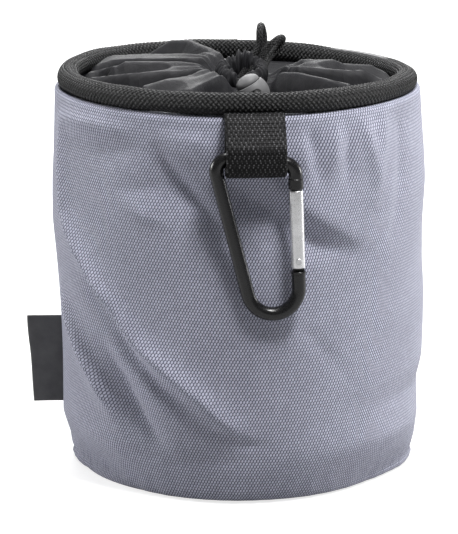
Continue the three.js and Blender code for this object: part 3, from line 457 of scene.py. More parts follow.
shell_cloth, tree, shader = new_material("shell_cloth")
uv, across, up = own_uv(tree)
inputs = {"Across": across / fleck_across, "Up": up / fleck_up}
flecks = add_node(tree, "Group", inputs, node_tree=fleck_group)
pale = flecks["Fleck"] * (flecks["Tone"] * 0.22 + 0.78) * ramp(noise(uv, 0.05, 4.0), 0.3, 0.7, 0.92, 1.0)
feed(shader, {
    "Base Color": mixed(pale, (0.075, 0.077, 0.112), (0.53, 0.54, 0.66)),
    "Roughness": ramp(flecks["Fleck"], 0.0, 1.0, 0.7, 0.55),
    "Specular IOR Level": 0.35,
    "Sheen Weight": 0.25,
    "Sheen Roughness": 0.5,
    "Sheen Tint": (0.85, 0.87, 1, 1),
    "Normal": bump(flecks["Height"], 0.16),
})


def smooth(value, low, high):
    """A smooth step from 0 at low to 1 at high."""
    share = np.clip((value - low) / (high - low), 0, 1)
    return share * share * (3 - 2 * share)


def folds_at(across, up, folds, power=2.0):
    """Weighs folds over a sheet. With d the distance to a fold's line, it weighs exp(-(d/w)^power),
    where w is one width to the left of the line's run and another to the right, and it brings the
    lift at the line's nearest point. Returns the summed weights and the summed weighed lifts."""
    place = np.stack(np.broadcast_arrays(across, up), axis=-1)[..., None, :]
    weight, lifted = 0, 0
    for line, *widths in folds:
        starts, runs = np.array(line)[:-1], np.diff(line, axis=0)
        flat, off = runs[:, :2], place - starts[:, :2]
        share = np.clip((off * flat).sum(axis=-1) / (flat**2).sum(axis=-1), 0, 1)
        distance = np.linalg.norm(off - share[..., None] * flat, axis=-1)
        on_left = flat[:, 0] * off[..., 1] - flat[:, 1] * off[..., 0] > 0
        weights = np.exp(-((distance / np.where(on_left, *widths)) ** power))
        lifts = starts[:, 2] + share * runs[:, 2]
        nearest = distance.argmin(axis=-1)[..., None]
        here, lift = (np.take_along_axis(values, nearest, -1)[..., 0] for values in (weights, lifts))
        weight, lifted = weight + here, lifted + here * lift
    return weight, lifted


# Each fold's line runs through (degrees round from the front, height, lift); then its widths to
# the left and the right of its run
wall_folds = [
    ([(-70, 152, 1.4), (-69, 139, 2.8), (-65, 118, 4), (-56, 103, 4.8), (-44, 86, 5.2), (-32, 68, 5.2),
      (-21, 57, 5), (-10, 45, 4.6), (-2, 34, 3.4), (4, 28, 0.6)], 5, 4.5),
    ([(-55, 98, -1), (-50, 86, -2.4), (-42, 78, -3.4), (-33, 62, -3.4), (-24, 50, -2.4),
      (-16, 44, -0.8)], 4, 4),
    ([(-42, 66, 0.8), (-31, 55, 2.2), (-24, 44, 2.4), (-18, 34, 1.2)], 5, 5),
    ([(-74, 82, 1), (-67, 74, 3.6), (-57, 60, 5.4), (-48, 46, 5.6), (-40, 32, 1.4)], 3.5, 6.5),
    ([(-46, 62, -1.6), (-39, 50, -4.2), (-33, 38, -5), (-27, 28, -3.6), (-22, 23, -0.6)], 4.5, 7),
    ([(-27, 155, -0.6), (-23, 146, -3.8), (-17, 136, -5.2), (-10, 125, -4.4), (0, 112, -1.8)], 4.5, 8),
    ([(-2, 137, -2), (1, 135, -3), (13, 123, -4.2), (25, 112, -4), (39, 106, -1)], 8, 6),
    ([(7, 141, 0.8), (13, 136, 2.2), (24, 123, 3.4), (39, 111, 1.4)], 8, 5),
    ([(-14, 132, -1.5), (10, 130, -1.5)], 14, 14),
    ([(-4, 92, 1.6), (6, 70, 2.6), (4, 48, 1.4)], 20, 20),
    ([(-72, 157, 0.8), (-60, 158, 2.2), (-44, 159, 2), (-34, 158, 0.6)], 4.5, 4.5),
    ([(-64, 150, -0.8), (-48, 148, -1.4), (-38, 149, -1.6), (-27, 151, -0.4)], 5, 5),
    ([(-35, 134, -0.6), (-26, 135, -1.4)], 4, 4),
    ([(-20, 157, 0.6), (-12, 156, 1.2)], 4, 5),
    ([(-36, 127, 0.4), (-29, 123, 1.6), (-22, 120, 0.4)], 4, 3),
    ([(23, 157, -1.6), (24, 152, -2.2), (25, 140, -1)], 2.6, 2.6),
    ([(20, 160, 0.6), (20, 148, 1.3), (22, 138, 0.3)], 2.6, 2.6),
    ([(31, 160, 1.5), (30, 148, 1.5), (28, 140, 0.3)], 2.6, 2.6),
    ([(36, 157, -0.8), (35, 148, -1.8), (35, 136, -0.8)], 2.6, 2.6),
    ([(42, 160, 2), (44, 147, 1.9), (47, 134, 0.5)], 3.5, 3.5),
    ([(60, 156, -1.4), (59, 135, -2), (55, 112, -0.7)], 5, 5),
    ([(51, 162, 1.6), (48, 144, 1.3), (45, 126, 0.5)], 4, 4),
    ([(17, 82, -0.1), (27, 66, -0.8), (38, 49, -0.1)], 2.5, 3),
    ([(-10, 33, -0.8), (-3, 32, -1.8), (2, 28, -2), (10, 25, -0.3)], 2.2, 3),
    ([(-38, 20, -1), (-23, 18, -1.8), (-11, 19, -1.8), (8, 21, -0.5)], 5, 5),
    ([(83, 36, -1), (61, 38, -0.6), (49, 35, -0.2)], 5, 5),
]
back_fold_turn, back_fold_reach, fold_fade = 178, 66, 14

# How far the left and right sides stand out past the wall's radius, at heights up the bag
side_heights = [0, 3.6, 11, 22, 37, 48, 77, 91, 109, 127, 138, 162.6, 170]
left_change = [-3, -6.8, -6.1, -3.1, -2.8, -2.5, -1.1, -0.4, 0.7, 0.4, -0.1, -0.5, 0]
right_change = [1.4, -2.4, -0.3, 0.4, -0.3, 1.4, 1.8, 1.2, 1.4, 2.4, 1.8, -0.3, 0]


def arc(centre, radii, start, end, steps):
    """Points (x + a cos t, y + b sin t) of a flat ellipse from the angle start to the angle end."""
    angle = np.linspace(start, end, steps)
    return np.asarray(centre) + np.stack([np.cos(angle), np.sin(angle)], axis=1) * radii


def round_uv(profile, columns, radius):
    """UV places on a turned surface in millimetres: the way round at a radius, and the way along."""
    across = np.linspace(0, full_turn * radius, columns + 1)
    return np.stack(np.meshgrid(across, run_along(profile)), axis=-1)


def wall_surface():
    """The tube (r sin t, -r cos t, z). Its profile runs up from the base's edge: a quarter round
    foot, the straight wall, a round shoulder and the turned-in hem. The radius then gains the
    sides' measured swell, weighted by sin^2 t, the front's folds, their copy at the back, which
    fades out towards the sides, and slow sines. It loses the foot's tuck, the rim's tuck and the
    foot's gathers. The seam under the rim rises a little at both sides."""
    foot, shoulder, first_radius, hem_end, straight_rows = 6, 3, 69, 74.2, 96
    straight = np.linspace(foot, wall_top - shoulder, straight_rows + 2)[1:-1]
    profile = np.concatenate([
        [(first_radius, 0)],
        arc((wall_radius - foot, foot), foot, -quarter_turn, 0, 9),
        np.stack([np.full(straight_rows, wall_radius), straight], axis=1),
        arc((wall_radius - shoulder, wall_top - shoulder), shoulder, 0, quarter_turn, 9),
        [(hem_end, wall_top)],
    ])
    radius, height = profile[:, :1], profile[:, 1:]
    angle = round_steps(wall_columns, -math.pi)[None, :]
    sine = np.sin(angle)
    swell = np.interp(height, side_heights, right_change) * np.maximum(0, sine) ** 2
    swell = swell + np.interp(height, side_heights, left_change) * np.maximum(0, -sine) ** 2
    change = swell + 0.35 * np.sin(3 * angle + height / 23) + 0.25 * np.sin(7 * angle - height / 15 + 1)
    folds = [
        ([(math.radians(degrees) * wall_radius, up, lift) for degrees, up, lift in line], *widths)
        for line, *widths in wall_folds
    ]
    for set_turn, reach in ((0, 180), (back_fold_turn, back_fold_reach)):
        from_set = (angle - math.radians(set_turn) + math.pi) % full_turn - math.pi
        lifts = folds_at(from_set * wall_radius, height, folds, 1.4)[1]
        fade = smooth(np.abs(from_set), math.radians(reach - fold_fade), math.radians(reach + fold_fade))
        change = change + lifts * (1 - fade)
    free = np.clip((height - 1) / 9, 0, 1) * np.clip((wall_top - 1 - height) / 9, 0, 1)
    on_side = radius > 72
    gather = np.sin(27 * angle + 1.4 * np.sin(5 * angle)) ** 2 * np.exp(-((height - 5) / 5) ** 2)
    change = swell * (1 - free) * on_side + change * free - 0.4 * gather * (radius > 74)
    from_front = np.degrees(np.arcsin(np.abs(sine)))
    foot_tuck = np.interp(from_front, [0, 24, 39, 51, 64, 75, 90], [3, 3.6, 4.8, 5.9, 4.6, 2, 0])
    foot_tuck = foot_tuck * (1 - smooth(height, 3, 24)) * on_side
    rim_tuck = 2.4 * (1 - sine**2) * smooth(height, 148, 164)
    full = np.maximum(radius + change - foot_tuck - rim_tuck, np.minimum(radius, 69.4))
    rise = 1.7 * sine**2 * smooth(height, 150, 163) * smooth(radius, 75.5, 79)
    points = np.stack([full * sine, -full * np.cos(angle), height + rise], axis=-1)
    return grid_part(points, round_uv(profile, wall_columns, wall_radius), wrap_columns=True)


def thickened(piece, thickness, offset=-1.0):
    """Gives a sheet its thickness with a Solidify modifier; offset -1 grows it inward."""
    solid = piece.modifiers.new("thickness", "SOLIDIFY")
    solid.thickness = thickness * millimetre
    solid.offset = offset
    solid.use_even_offset = False


shell_wall = new_piece("shell_wall_cloth", [wall_surface()], shell_cloth)
thickened(shell_wall, 0.9)
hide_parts("shell_wall")
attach(shell_wall, "bag")


# Base panel and board: the same cloth as a round bottom, sewn to the wall's turned-in foot, and
# the stiff polypropylene disc that lies on it and keeps it flat.
def turned_part(profile, sides):
    """A turned shape (r cos t, r sin t, z) from a profile that runs up its outside."""
    profile = np.asarray(profile, dtype=float)
    angle = round_steps(sides)[None, :]
    radius, height = profile[:, :1], profile[:, 1:]
    points = np.stack([radius * np.cos(angle), radius * np.sin(angle), height + 0 * angle], axis=-1)
    uv = round_uv(profile, sides, profile[:, 0].max())
    return grid_part(points, uv, wrap_columns=True, caps=True)


axis_radius = 0.01
base_radius, base_edge, base_low, base_high = 68.6, 0.4, 0.05, 1.2
radii = np.linspace(axis_radius, base_radius - base_edge, 12)[:-1]
base_middle, base_half = (base_low + base_high) / 2, (base_high - base_low) / 2
points, faces, _ = turned_part(np.concatenate([
    np.column_stack([radii, np.full(len(radii), base_low)]),
    arc((base_radius - base_edge, base_middle), (base_edge, base_half), -quarter_turn, quarter_turn, 7),
    np.column_stack([radii[::-1], np.full(len(radii), base_high)]),
]), 96)
flat_places = np.concatenate([points[face_array.ravel(), :2] for face_array in faces])
base_panel = new_piece("base_panel_cloth", [(points, faces, flat_places)], shell_cloth, sharp=50)
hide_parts("base_panel")
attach(base_panel, "bag")

wear_group, wear_in = new_group("wear", "Scale", "Amount")
place = add_node(wear_group, "TexCoord")["Object"]
end_group(wear_group, {
    "Mask": ramp(noise(place, wear_in["Scale"], 5.0), 0.42, 0.72) * wear_in["Amount"],
    "Grain": noise(place, wear_in["Scale"] * 14.0, 3.0),
})


def worn(name, look, fresh, rubbed, wear, depth, rough=None, spread=(0.3, 0.7), lathe=0.0):
    """A hard surface with a fine grain. Its colour goes from fresh to rubbed in patches, whose scale
    and amount are wear. Where rough is given, its roughness goes through that pair as the grain
    goes through spread. lathe adds turned rings to the grain."""
    made, tree, shader = new_material(name)
    effect = add_node(tree, "Group", dict(zip(("Scale", "Amount"), wear)), node_tree=wear_group)
    height = effect["Grain"]
    feed(shader, {**look, "Base Color": mixed(effect["Mask"], fresh, rubbed)})
    if rough:
        feed(shader, {"Roughness": ramp(height, *spread, *rough)})
    if lathe:
        height = ((own_uv(tree)[2] * 42.0).calc("SINE") * 0.5 + 0.5) * lathe + height
    feed(shader, {"Normal": bump(height, depth)})
    return made


def finish_nodes(material, *names):
    """Gives CAD nodes that keep their shape a material of this scene."""
    for name in names:
        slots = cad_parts[name].data.materials
        slots.clear()
        slots.append(material)


moulded_rough = (0.44, 0.58)
board_plastic = worn(
    "board_plastic", {}, (0.05, 0.05, 0.052), (0.08, 0.08, 0.082), (220.0, 0.7), 0.05, moulded_rough
)
finish_nodes(board_plastic, "base_board", "rim_hoop")


# Rim binding: a thick black braided tube, pulled over the plastic hoop and sewn shut along its
# underside, where it grips the wall's hem and the collar. Its plait is 12 strand pairs round.
rim_radius, binding_radius = 73.5, 4.5
rim_cells, rim_plaits, rim_steps = 220, 12, 5
rim_columns, rim_sides = rim_cells * rim_steps, rim_plaits * rim_steps
rim_turn = round_steps(rim_columns, -math.pi)[None, :]
rim_round = round_steps(rim_sides)[:, None]
rim_uv = plain_uv(rim_sides + 1, rim_columns + 1, rim_plaits, rim_cells)[..., ::-1]
rim_relief = plait(rim_uv[:-1, :-1, 0], rim_uv[:-1, :-1, 1])
rim_slack = 0.12 * np.sin(9 * rim_turn + 2) + 0.1 * np.sin(17 * rim_turn)
binding = binding_radius - 0.25 + 0.5 * rim_relief + rim_slack
ring = rim_radius + binding * np.cos(rim_round)
low_place, high_place = math.radians(125), math.radians(-120)
rim_warp = 0.7 * np.exp(-((rim_turn - high_place) / 0.6) ** 2)
rim_warp = rim_warp - 2.2 * np.exp(-((rim_turn - low_place) / 0.65) ** 2)
rim_points = np.stack([
    ring * np.sin(rim_turn), -ring * np.cos(rim_turn), rim_height + binding * np.sin(rim_round) + rim_warp,
], axis=-1)
# Its dark colour is painted shade in the grooves, its pale one a painted highlight on the crowns.
rim_braid = braid_material("rim_braid", (0.0015, 0.0015, 0.0018), (0.046, 0.046, 0.048), 0.7)
rim_part = grid_part(rim_points, rim_uv, wrap_rows=True, wrap_columns=True)
rim_binding = new_piece("rim_binding_braid", [rim_part], rim_braid)
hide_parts("rim_binding")
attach(rim_binding, "bag")


# Collar: thin black nylon, sewn under the rim and gathered onto the draw cord, so that it lies in
# broad flat pleats which lap one over the other from the rim to the hole.
thread_group, thread_in = new_group("threads", "Across", "Up")
warp = (thread_in["Across"] * full_turn).calc("SINE")
weft = (thread_in["Up"] * full_turn).calc("SINE")
end_group(thread_group, {"Height": warp * weft * 0.5 + 0.5})


def woven(name, look, dark, light, pitch, depth, crinkle):
    """Plain cloth in millimetres of the piece's UV map, with a fine crinkle over its threads."""
    made, tree, shader = new_material(name)
    uv, across, up = own_uv(tree)
    threads = add_node(tree, "Group", {"Across": across / pitch, "Up": up / pitch}, node_tree=thread_group)
    mottle, creases = noise(uv, 0.12, 4.0), noise(uv, 0.35, 2.0, Distortion=0.6)
    base = look["Roughness"]
    # The colour is darker where the threads' relief is low, painted shade in the hollows of the weave, and
    # mottled at random.
    feed(shader, {
        **look,
        "Base Color": mixed(threads * 0.5 + ramp(mottle, 0.25, 0.75) * 0.5, dark, light),
        "Roughness": ramp(mottle, 0.3, 0.7, base + 0.05, base - 0.05),
        "Normal": bump(creases * crinkle + threads * depth, 1.0),
    })
    return made


nylon_look = {"Roughness": 0.5, "Specular IOR Level": 0.15}
nylon = woven("nylon", nylon_look, (0.009, 0.009, 0.0105), (0.021, 0.021, 0.0235), 0.3, 0.03, 0.22)

# The lobes as folds whose lines run through (x, y, height over the rim's middle)
lobes = [
    ([(-6.7, 11, 5.6), (-12, 22, 7.6), (-16.5, 32, 8.2), (-21, 41, 8.9), (-29.7, 46, 8.1),
      (-40.5, 48, 1)], 7, 7),
    ([(-63, 28, 0.8), (-55.5, 27, 4.1), (-41.6, 22, 5.6), (-23, 14, 6.8), (-12, 9, 7)], 5, 6),
    ([(-62.7, 20, 0.7), (-54, 20, 3.2), (-42.7, 16, 4.3), (-18.5, 8, 5.3)], 6, 3),
    ([(-52.4, 2, 3.4), (-48.9, 2, 5.4), (-25, 0, 5.9), (-10.5, -2, 3.9)], 4, 6),
    ([(-62.2, -12, 0.7), (-46.2, -14, 2.7), (-29, -11, 3.6), (-16, -7, 3.4)], 7, 3),
    ([(-39, -38, 1.6), (-30.8, -31, 3), (-18.2, -19, 2.9), (-11.8, -12, 4.4), (-6.6, -10, 3)], 4, 6),
    ([(-20, -36, -0.5), (-11.7, -21, 2.2), (-6.6, -13, 3)], 6, 3),
    ([(25, 4, 3.3), (28.7, 5, 5.6), (41.9, 8, 5.3), (46.3, 9, 3.4), (58, 11, 2.6), (66, 10, -1.2)], 5, 6),
    ([(27, -3, 3.6), (46.6, -5, 2.6), (55.3, -4, 2.6), (61.8, -5, -0.9)], 6, 3),
    ([(12, -8, 2.9), (26, -18, 3.8), (37.3, -27, 2.7), (46.9, -33, 1.4)], 6, 3),
    ([(-68, 8, -1.1), (-60, 8, 0.9), (-52.5, 6, 2.8)], 3, 3),
    ([(12, 3, 3.4), (16.5, 3.5, 2.6), (20, 3.5, 1.8), (26, 2.5, 2.4)], 2.5, 2.5),
]
lock_place = np.array([6.8, -22, 167])
collar_rows, collar_columns = 110, 340
collar_round, collar_fall = 461, 75


def collar_surface():
    """The collar as a height over the plane, drawn from the rim (share 0) to the casing (share 1):
    a low saddle that starts at the rim's seam, plus the pleats, less the trough under the lock.
    Between rim and casing the place is the straight mix of two circles."""
    outer, inner, seam_height = 73, 11.0, 165.8
    share = np.linspace(0, 1, collar_rows)[:, None]
    angle = round_steps(collar_columns, -math.pi)[None, :]
    across = (1 - share) * outer * np.cos(angle) + share * (casing_middle[0] + inner * np.cos(angle))
    back = (1 - share) * outer * np.sin(angle) + share * inner * np.sin(angle)
    hole_edge = 169.2 + casing_tilt * inner * np.sin(angle)
    sag = 6.5 * smooth(share, 0.03, 0.25) * (1 - smooth(share, 0.8, 0.95))
    crest = 166.8 + 2.4 * np.sqrt(share) - sag
    weight, lifted = folds_at(across, back, lobes)
    height = crest + (lifted + weight * (rim_height - crest)) / np.maximum(1, weight)
    height = height + 0.5 * np.sin(26 * angle + 3 * np.sin(2 * angle)) * smooth(share, 0.5, 0.8)
    height = seam_height + (height - seam_height) * smooth(share, 0.03, 0.13)
    height = height + (hole_edge - height) * smooth(share, 0.86, 1)
    off_casing = 1 - smooth(share, 0.88, 1.0)
    trough = np.exp(-(((across - lock_place[0]) / 9) ** 4))
    trough = trough * smooth(-back, 2, 11) * (1 - smooth(-back, 46, 62)) * off_casing
    height = height * (1 - trough) + np.minimum(height, 162.6) * trough
    away = np.hypot(across - 8.2, np.maximum(0, np.abs(back + 25) - 3)) / 8.2
    height = height - 6 * np.exp(-(away**2)) * off_casing
    points = np.stack([across, back, height], axis=-1)
    uv = plain_uv(collar_rows, collar_columns + 1, collar_fall, collar_round)[..., ::-1]
    return grid_part(points, uv, wrap_columns=True)


collar = new_piece("collar_cloth", [collar_surface()], nylon)
thickened(collar, 0.6, 0)
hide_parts("collar")
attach(collar, "bag")


# Casing: the collar's inner hem, a tunnel for the draw cord. The pulled cord crowds it into
# narrow standing crinkles. It is open at the front, where the cord leaves for the lock, and
# stands up in a tuft at the back, out of which the loops come.
casing_start, casing_end, casing_columns, casing_sides = -78, 256, 420, 40


def casing_part():
    """A bent tube with an upright oval section (a cos s, b sin s) about the casing ring. At the
    back it rises as exp(-d^2) into a tuft. The crinkles push the section out by sharp ridges,
    1 - |sin|, whose phase slips with height, so that no two match."""
    shares = np.linspace(0, 1, casing_columns)[:, None]
    degrees = casing_start + (casing_end - casing_start) * shares
    around = round_steps(casing_sides)[None, :]
    wave = np.radians(degrees)
    slip = 0.9 * np.sin(around + 0.7) + 0.5 * np.sin(3 * wave)
    ruffle = 0.9 - 1.8 * np.abs(np.sin(10.5 * wave + slip + 0.4)) ** 0.7
    ruffle = ruffle + 0.6 - 1.2 * np.abs(np.sin(6.5 * wave - 1.4 * slip + 2)) ** 0.8
    tuft = np.exp(-(((degrees - 78) / 34) ** 2))
    mouth = 1 - 0.35 * (1 - smooth(np.minimum(shares, 1 - shares), 0, 0.04))
    half_wide = (2.3 + 0.5 * ruffle + 0.4 * tuft) * mouth
    half_high = (3.9 + 0.5 * ruffle + 1.6 * tuft) * mouth
    radius = casing_radius + half_wide * np.cos(around) + 0.8 * tuft
    across = casing_middle[0] + radius * np.cos(wave)
    back = radius * np.sin(wave)
    height = casing_middle[2] + casing_tilt * back + half_high * np.sin(around) + 0.4 * ruffle + 1.2 * tuft
    points = np.stack([across, back, height], axis=-1)
    uv = plain_uv(casing_columns, casing_sides + 1, (casing_end - casing_start) * 0.4, 18)
    return grid_part(points, uv, wrap_columns=True)


casing = new_piece("casing_ruffle", [casing_part()], nylon)
thickened(casing, 0.35)
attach(casing, "bag")


# Cord lock: a moulded ball with a cross slot for the two cords, leaning to the left on the collar.
# It is bored in three steps for its sprung button, a domed cap on a stem, whose slot is long enough
# to leave the cords room when it is pressed.
def placed(part, origin, axes):
    """A part carried to an origin and onto three axes."""
    points, faces, places = part
    return points @ np.array(axes) + np.asarray(origin), faces, places


def leaning(angle):
    """Three axes turned about y, which lean to the left for an angle over zero."""
    return (math.cos(angle), 0, math.sin(angle)), (0, 1, 0), (-math.sin(angle), 0, math.cos(angle))


lock_lean = math.radians(30)
ball_radius, ball_half, ball_rim = 7, 8.2, 3.9
cap_radius, cap_bottom, cap_round, cap_crown = 5.35, 4.2, 0.35, 0.7
well_radius, well_floor = cap_radius + 0.12, 2.1
bore_radius, bore_floor = 4.7, -5.2
pocket_radius, pocket_floor = 2.9, -6.9
ball_profile = arc((0, 0), (ball_radius, ball_half), -quarter_turn, math.asin(ball_rim / ball_half), 34)
ball_profile[0, 0] = axis_radius
lip_middle = (ball_profile[-1, 0] - 0.5, ball_rim - 0.1)
ball_profile = np.concatenate([ball_profile[:-1], arc(lip_middle, (0.5, 0.4), 0, quarter_turn, 6), [
    (well_radius + 0.03, ball_rim + 0.3), (well_radius, ball_rim), (well_radius, well_floor),
    (bore_radius, well_floor), (bore_radius, bore_floor), (pocket_radius, bore_floor),
    (pocket_radius, pocket_floor), (axis_radius, pocket_floor),
]])
lock_look, lock_wear = {"Specular IOR Level": 0.35}, (300.0, 0.7)
lock_plastic = worn(
    "lock_plastic", lock_look, (0.13, 0.13, 0.133), (0.155, 0.155, 0.158), lock_wear, 0.04, moulded_rough
)
button_plastic = worn(
    "button_plastic", lock_look, (0.12, 0.12, 0.123), (0.14, 0.14, 0.143), lock_wear, 0.04, moulded_rough
)
smooth_below = 35


def cut(piece, *parts):
    """Takes parts out of a piece with exact Booleans, and marks its sharp edges again."""
    for part in parts:
        cutter = new_piece("cutter", [part], piece.data.materials[0])
        modifier = piece.modifiers.new("cut", "BOOLEAN")
        modifier.operation = "DIFFERENCE"
        modifier.solver = "EXACT"
        modifier.object = cutter
        evaluated = piece.evaluated_get(bpy.context.evaluated_depsgraph_get())
        result = bpy.data.meshes.new_from_object(evaluated)
        piece.modifiers.remove(modifier)
        piece.data = result
        bpy.data.objects.remove(cutter)
    piece.data.set_sharp_from_angle(angle=math.radians(smooth_below))


def bar_part(outline, reach):
    """A bar with a flat outline in (x, z), drawn along y to the reach on both sides."""
    outline = np.asarray(outline, dtype=float)
    points = np.stack([np.insert(outline, 1, level, axis=1) for level in (-reach, reach)])
    return grid_part(points, plain_uv(2, len(outline) + 1), wrap_columns=True, caps=True)


def oval(half_width, half_height):
    """A flat oval in (x, z): two half circles of the half height joined by straight sides. It runs
    so that a bar along +y faces outward."""
    right_half = arc((half_width - half_height, 0), half_height, -quarter_turn, quarter_turn, 12)
    return np.concatenate([right_half, -right_half])[::-1]


def in_lock(part):
    """A part drawn round the lock's middle and axis, carried into the bag's frame."""
    return placed(part, lock_place, leaning(lock_lean))


lane_reach = 12
lane_outline = oval(3.65, 1.8)
ball_part = in_lock(turned_part(ball_profile, 72))
lock_body = new_piece("cord_lock_ball", [ball_part], lock_plastic, smooth_below)
cut(lock_body, in_lock(bar_part(lane_outline, lane_reach)))
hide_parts("cord_lock_body")
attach(lock_body, "cord_lock")

stem_radius, stem_bottom = 4.4, -3.1
button_travel = 2
dome_size = (cap_radius, ball_half - cap_bottom - cap_crown)
edge_middle = (cap_radius - cap_round, cap_bottom + cap_round)
cap_profile = np.concatenate([
    [(axis_radius, stem_bottom), (stem_radius, stem_bottom), (stem_radius, cap_bottom)],
    arc(edge_middle, cap_round, -quarter_turn, 0, 5),
    arc((0, cap_bottom + cap_crown), dome_size, 0, quarter_turn, 16),
])
cap_profile[-1, 0] = axis_radius
stem_outline = lane_outline + np.outer(lane_outline[:, 1] > 0, [0, button_travel])
cap_part = in_lock(turned_part(cap_profile, 64))
lock_button = new_piece("cord_lock_button", [cap_part], button_plastic, smooth_below)
cut(lock_button, in_lock(bar_part(stem_outline, lane_reach)))
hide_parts("cord_lock_plunger")
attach(lock_button, "lock_button")


# Webbing loop: black 25 mm webbing, folded round the snap hook's bar, with both ends sewn under
# the rim. It is woven in cross ribs of small chevrons.
web_width, web_thickness, rib_pitch = 25, 1.3, 1.85
bar_place = np.array([7.4, -84.4765, 149.4])
bar_reach, back_face = 84.8, 80.3
front_turn = math.asin(bar_place[0] / bar_reach)
cosine, sine = math.cos(front_turn), math.sin(front_turn)
front_axes = ((cosine, sine, 0), (-sine, cosine, 0), (0, 0, 1))
rod_radius, web_gap, chevron_across, chevron_up = 2.9, 0.3, 1.9, 3.7


def rounded(corners, radius, steps=8):
    """A polyline with each inner corner replaced by a bend that touches both sides where an arc of
    the radius would, and no further out than half of the shorter side."""
    corners = np.asarray(corners, dtype=float)
    made = [corners[:1]]
    for before, corner, after in zip(corners[:-2], corners[1:-1], corners[2:]):
        into, out = unit(corner - before), unit(after - corner)
        bend = math.acos(float(np.clip(np.dot(into, out), -1, 1)))
        shorter = min(np.linalg.norm(corner - before), np.linalg.norm(after - corner))
        reach = min(radius * math.tan(bend / 2), 0.49 * shorter)
        share = np.linspace(0, 1, steps)[:, None]
        start, end = corner - reach * into, corner + reach * out
        made.append((1 - share) ** 2 * start + 2 * share * (1 - share) * corner + share**2 * end)
    return np.concatenate([*made, corners[-1:]])


web_weave, tree, shader = new_material("web_weave")
across, up = own_uv(tree)[1:]
inputs = {"Along": across / chevron_across, "Around": up / chevron_up}
chevrons = add_node(tree, "Group", inputs, node_tree=plait_group)
rib = (up * (math.pi / rib_pitch)).calc("SINE").calc("ABSOLUTE")
rib_height = rib**0.5
# Painted light and shade: the colour is dark in the grooves between ribs and chevrons and pale on their
# raised crowns, a painted highlight, with a random tone per chevron.
tone = ramp(chevrons["Height"], 0.66, 1.0) * rib_height * rib * (chevrons["Chance"] * 0.8 + 0.2)
feed(shader, {
    "Base Color": mixed(tone, (0.0015, 0.0015, 0.0018), (0.22, 0.22, 0.23)),
    "Roughness": 0.6,
    "Specular IOR Level": 0.15,
    "Normal": bump(chevrons["Height"] * 0.5 + rib_height, 0.35),
})


def web_part(centre_line, half_thickness, width, rows):
    """Webbing along a line in (outward, up): at each point a flat oval section, wide across the
    bag and thin along the line's normal. Cross ribs raise its faces as |sin|, and the band bends
    round the wall: it sinks by R - sqrt(R^2 - x^2) at x across."""
    line = evenly(centre_line, rows)
    step = unit(np.gradient(line, axis=0))
    run = run_along(line)[:, None]
    edge = half_thickness / (width / 2)
    upper = np.column_stack([np.linspace(-1, 1, 41) * (1 - edge), np.ones(41)])
    right_round = arc((1 - edge, 0), (edge, 1), quarter_turn, -quarter_turn, 7)[1:-1]
    section = np.concatenate([upper, right_round, -upper, -right_round])
    rib = 0.12 * np.abs(np.sin(math.pi * run / rib_pitch)) * (np.abs(section[:, 1]) > 0.99)
    across = section[:, 0] * width / 2 + 0 * run
    lift = section[:, 1] * (half_thickness - 0.08 + rib)
    outward = line[:, :1] + step[:, 1:] * lift
    upward = line[:, 1:] - step[:, :1] * lift
    points = np.stack([across, -np.sqrt(back_face**2 - across**2) - outward, upward], axis=-1)
    closed = np.column_stack([across, across[:, :1]]) + width / 2
    uv = np.stack([closed, run + 0 * closed], axis=-1)
    return grid_part(points[:, ::-1], uv[:, ::-1], wrap_columns=True, caps=True)


half_web = web_thickness / 2
wall_bow = back_face - math.sqrt(back_face**2 - (web_width / 2) ** 2)
loop_inner = rod_radius + web_gap + wall_bow / 2 + 0.5
loop_middle = loop_inner + web_thickness
loop_radius = loop_inner + half_web
front_face = loop_middle + loop_radius
web_line = np.concatenate([
    rounded([(-3.6, 18), (-0.4, 17.9), (2.2, 15.4), (front_face - 0.3, 5.2), (front_face, 1.2)], 2.5),
    arc((loop_middle, -1.5), loop_radius, 0, -math.pi, 25)[1:],
    [(half_web + 0.05, 1.4), (half_web + 0.05, 14.6)],
])
webbing = new_piece("webbing_loop_woven", [
    placed(web_part(web_line, half_web, web_width, 230), (0, 0, bar_place[2]), front_axes),
], web_weave, sharp=60)
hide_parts("webbing_loop")
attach(webbing, "bag")


# Snap hook: a 6 mm aluminium rod, bent round three corners and anodised black. Its nose ends in a
# tongue with a notch that catches the gate's pin, and its foot in a tongue that carries the gate.
bottom, right_top, left_top = (7.3, -54, 10.7), (11.1, -6.4, 5.3), (-10.9, -4.3, 5.4)


def tangent_angle(start, end):
    """The outward normal's angle on the line that touches two circles, met counterclockwise."""
    run = math.atan2(end[1] - start[1], end[0] - start[0])
    spacing = math.hypot(end[0] - start[0], end[1] - start[1])
    return run - quarter_turn - math.asin((end[2] - start[2]) / spacing)


def corner_arc(circle, start, end, steps):
    """Points on a circle (x, z, r) from one angle to another, counterclockwise."""
    return arc(circle[:2], circle[2], start, start + (end - start) % full_turn, steps)


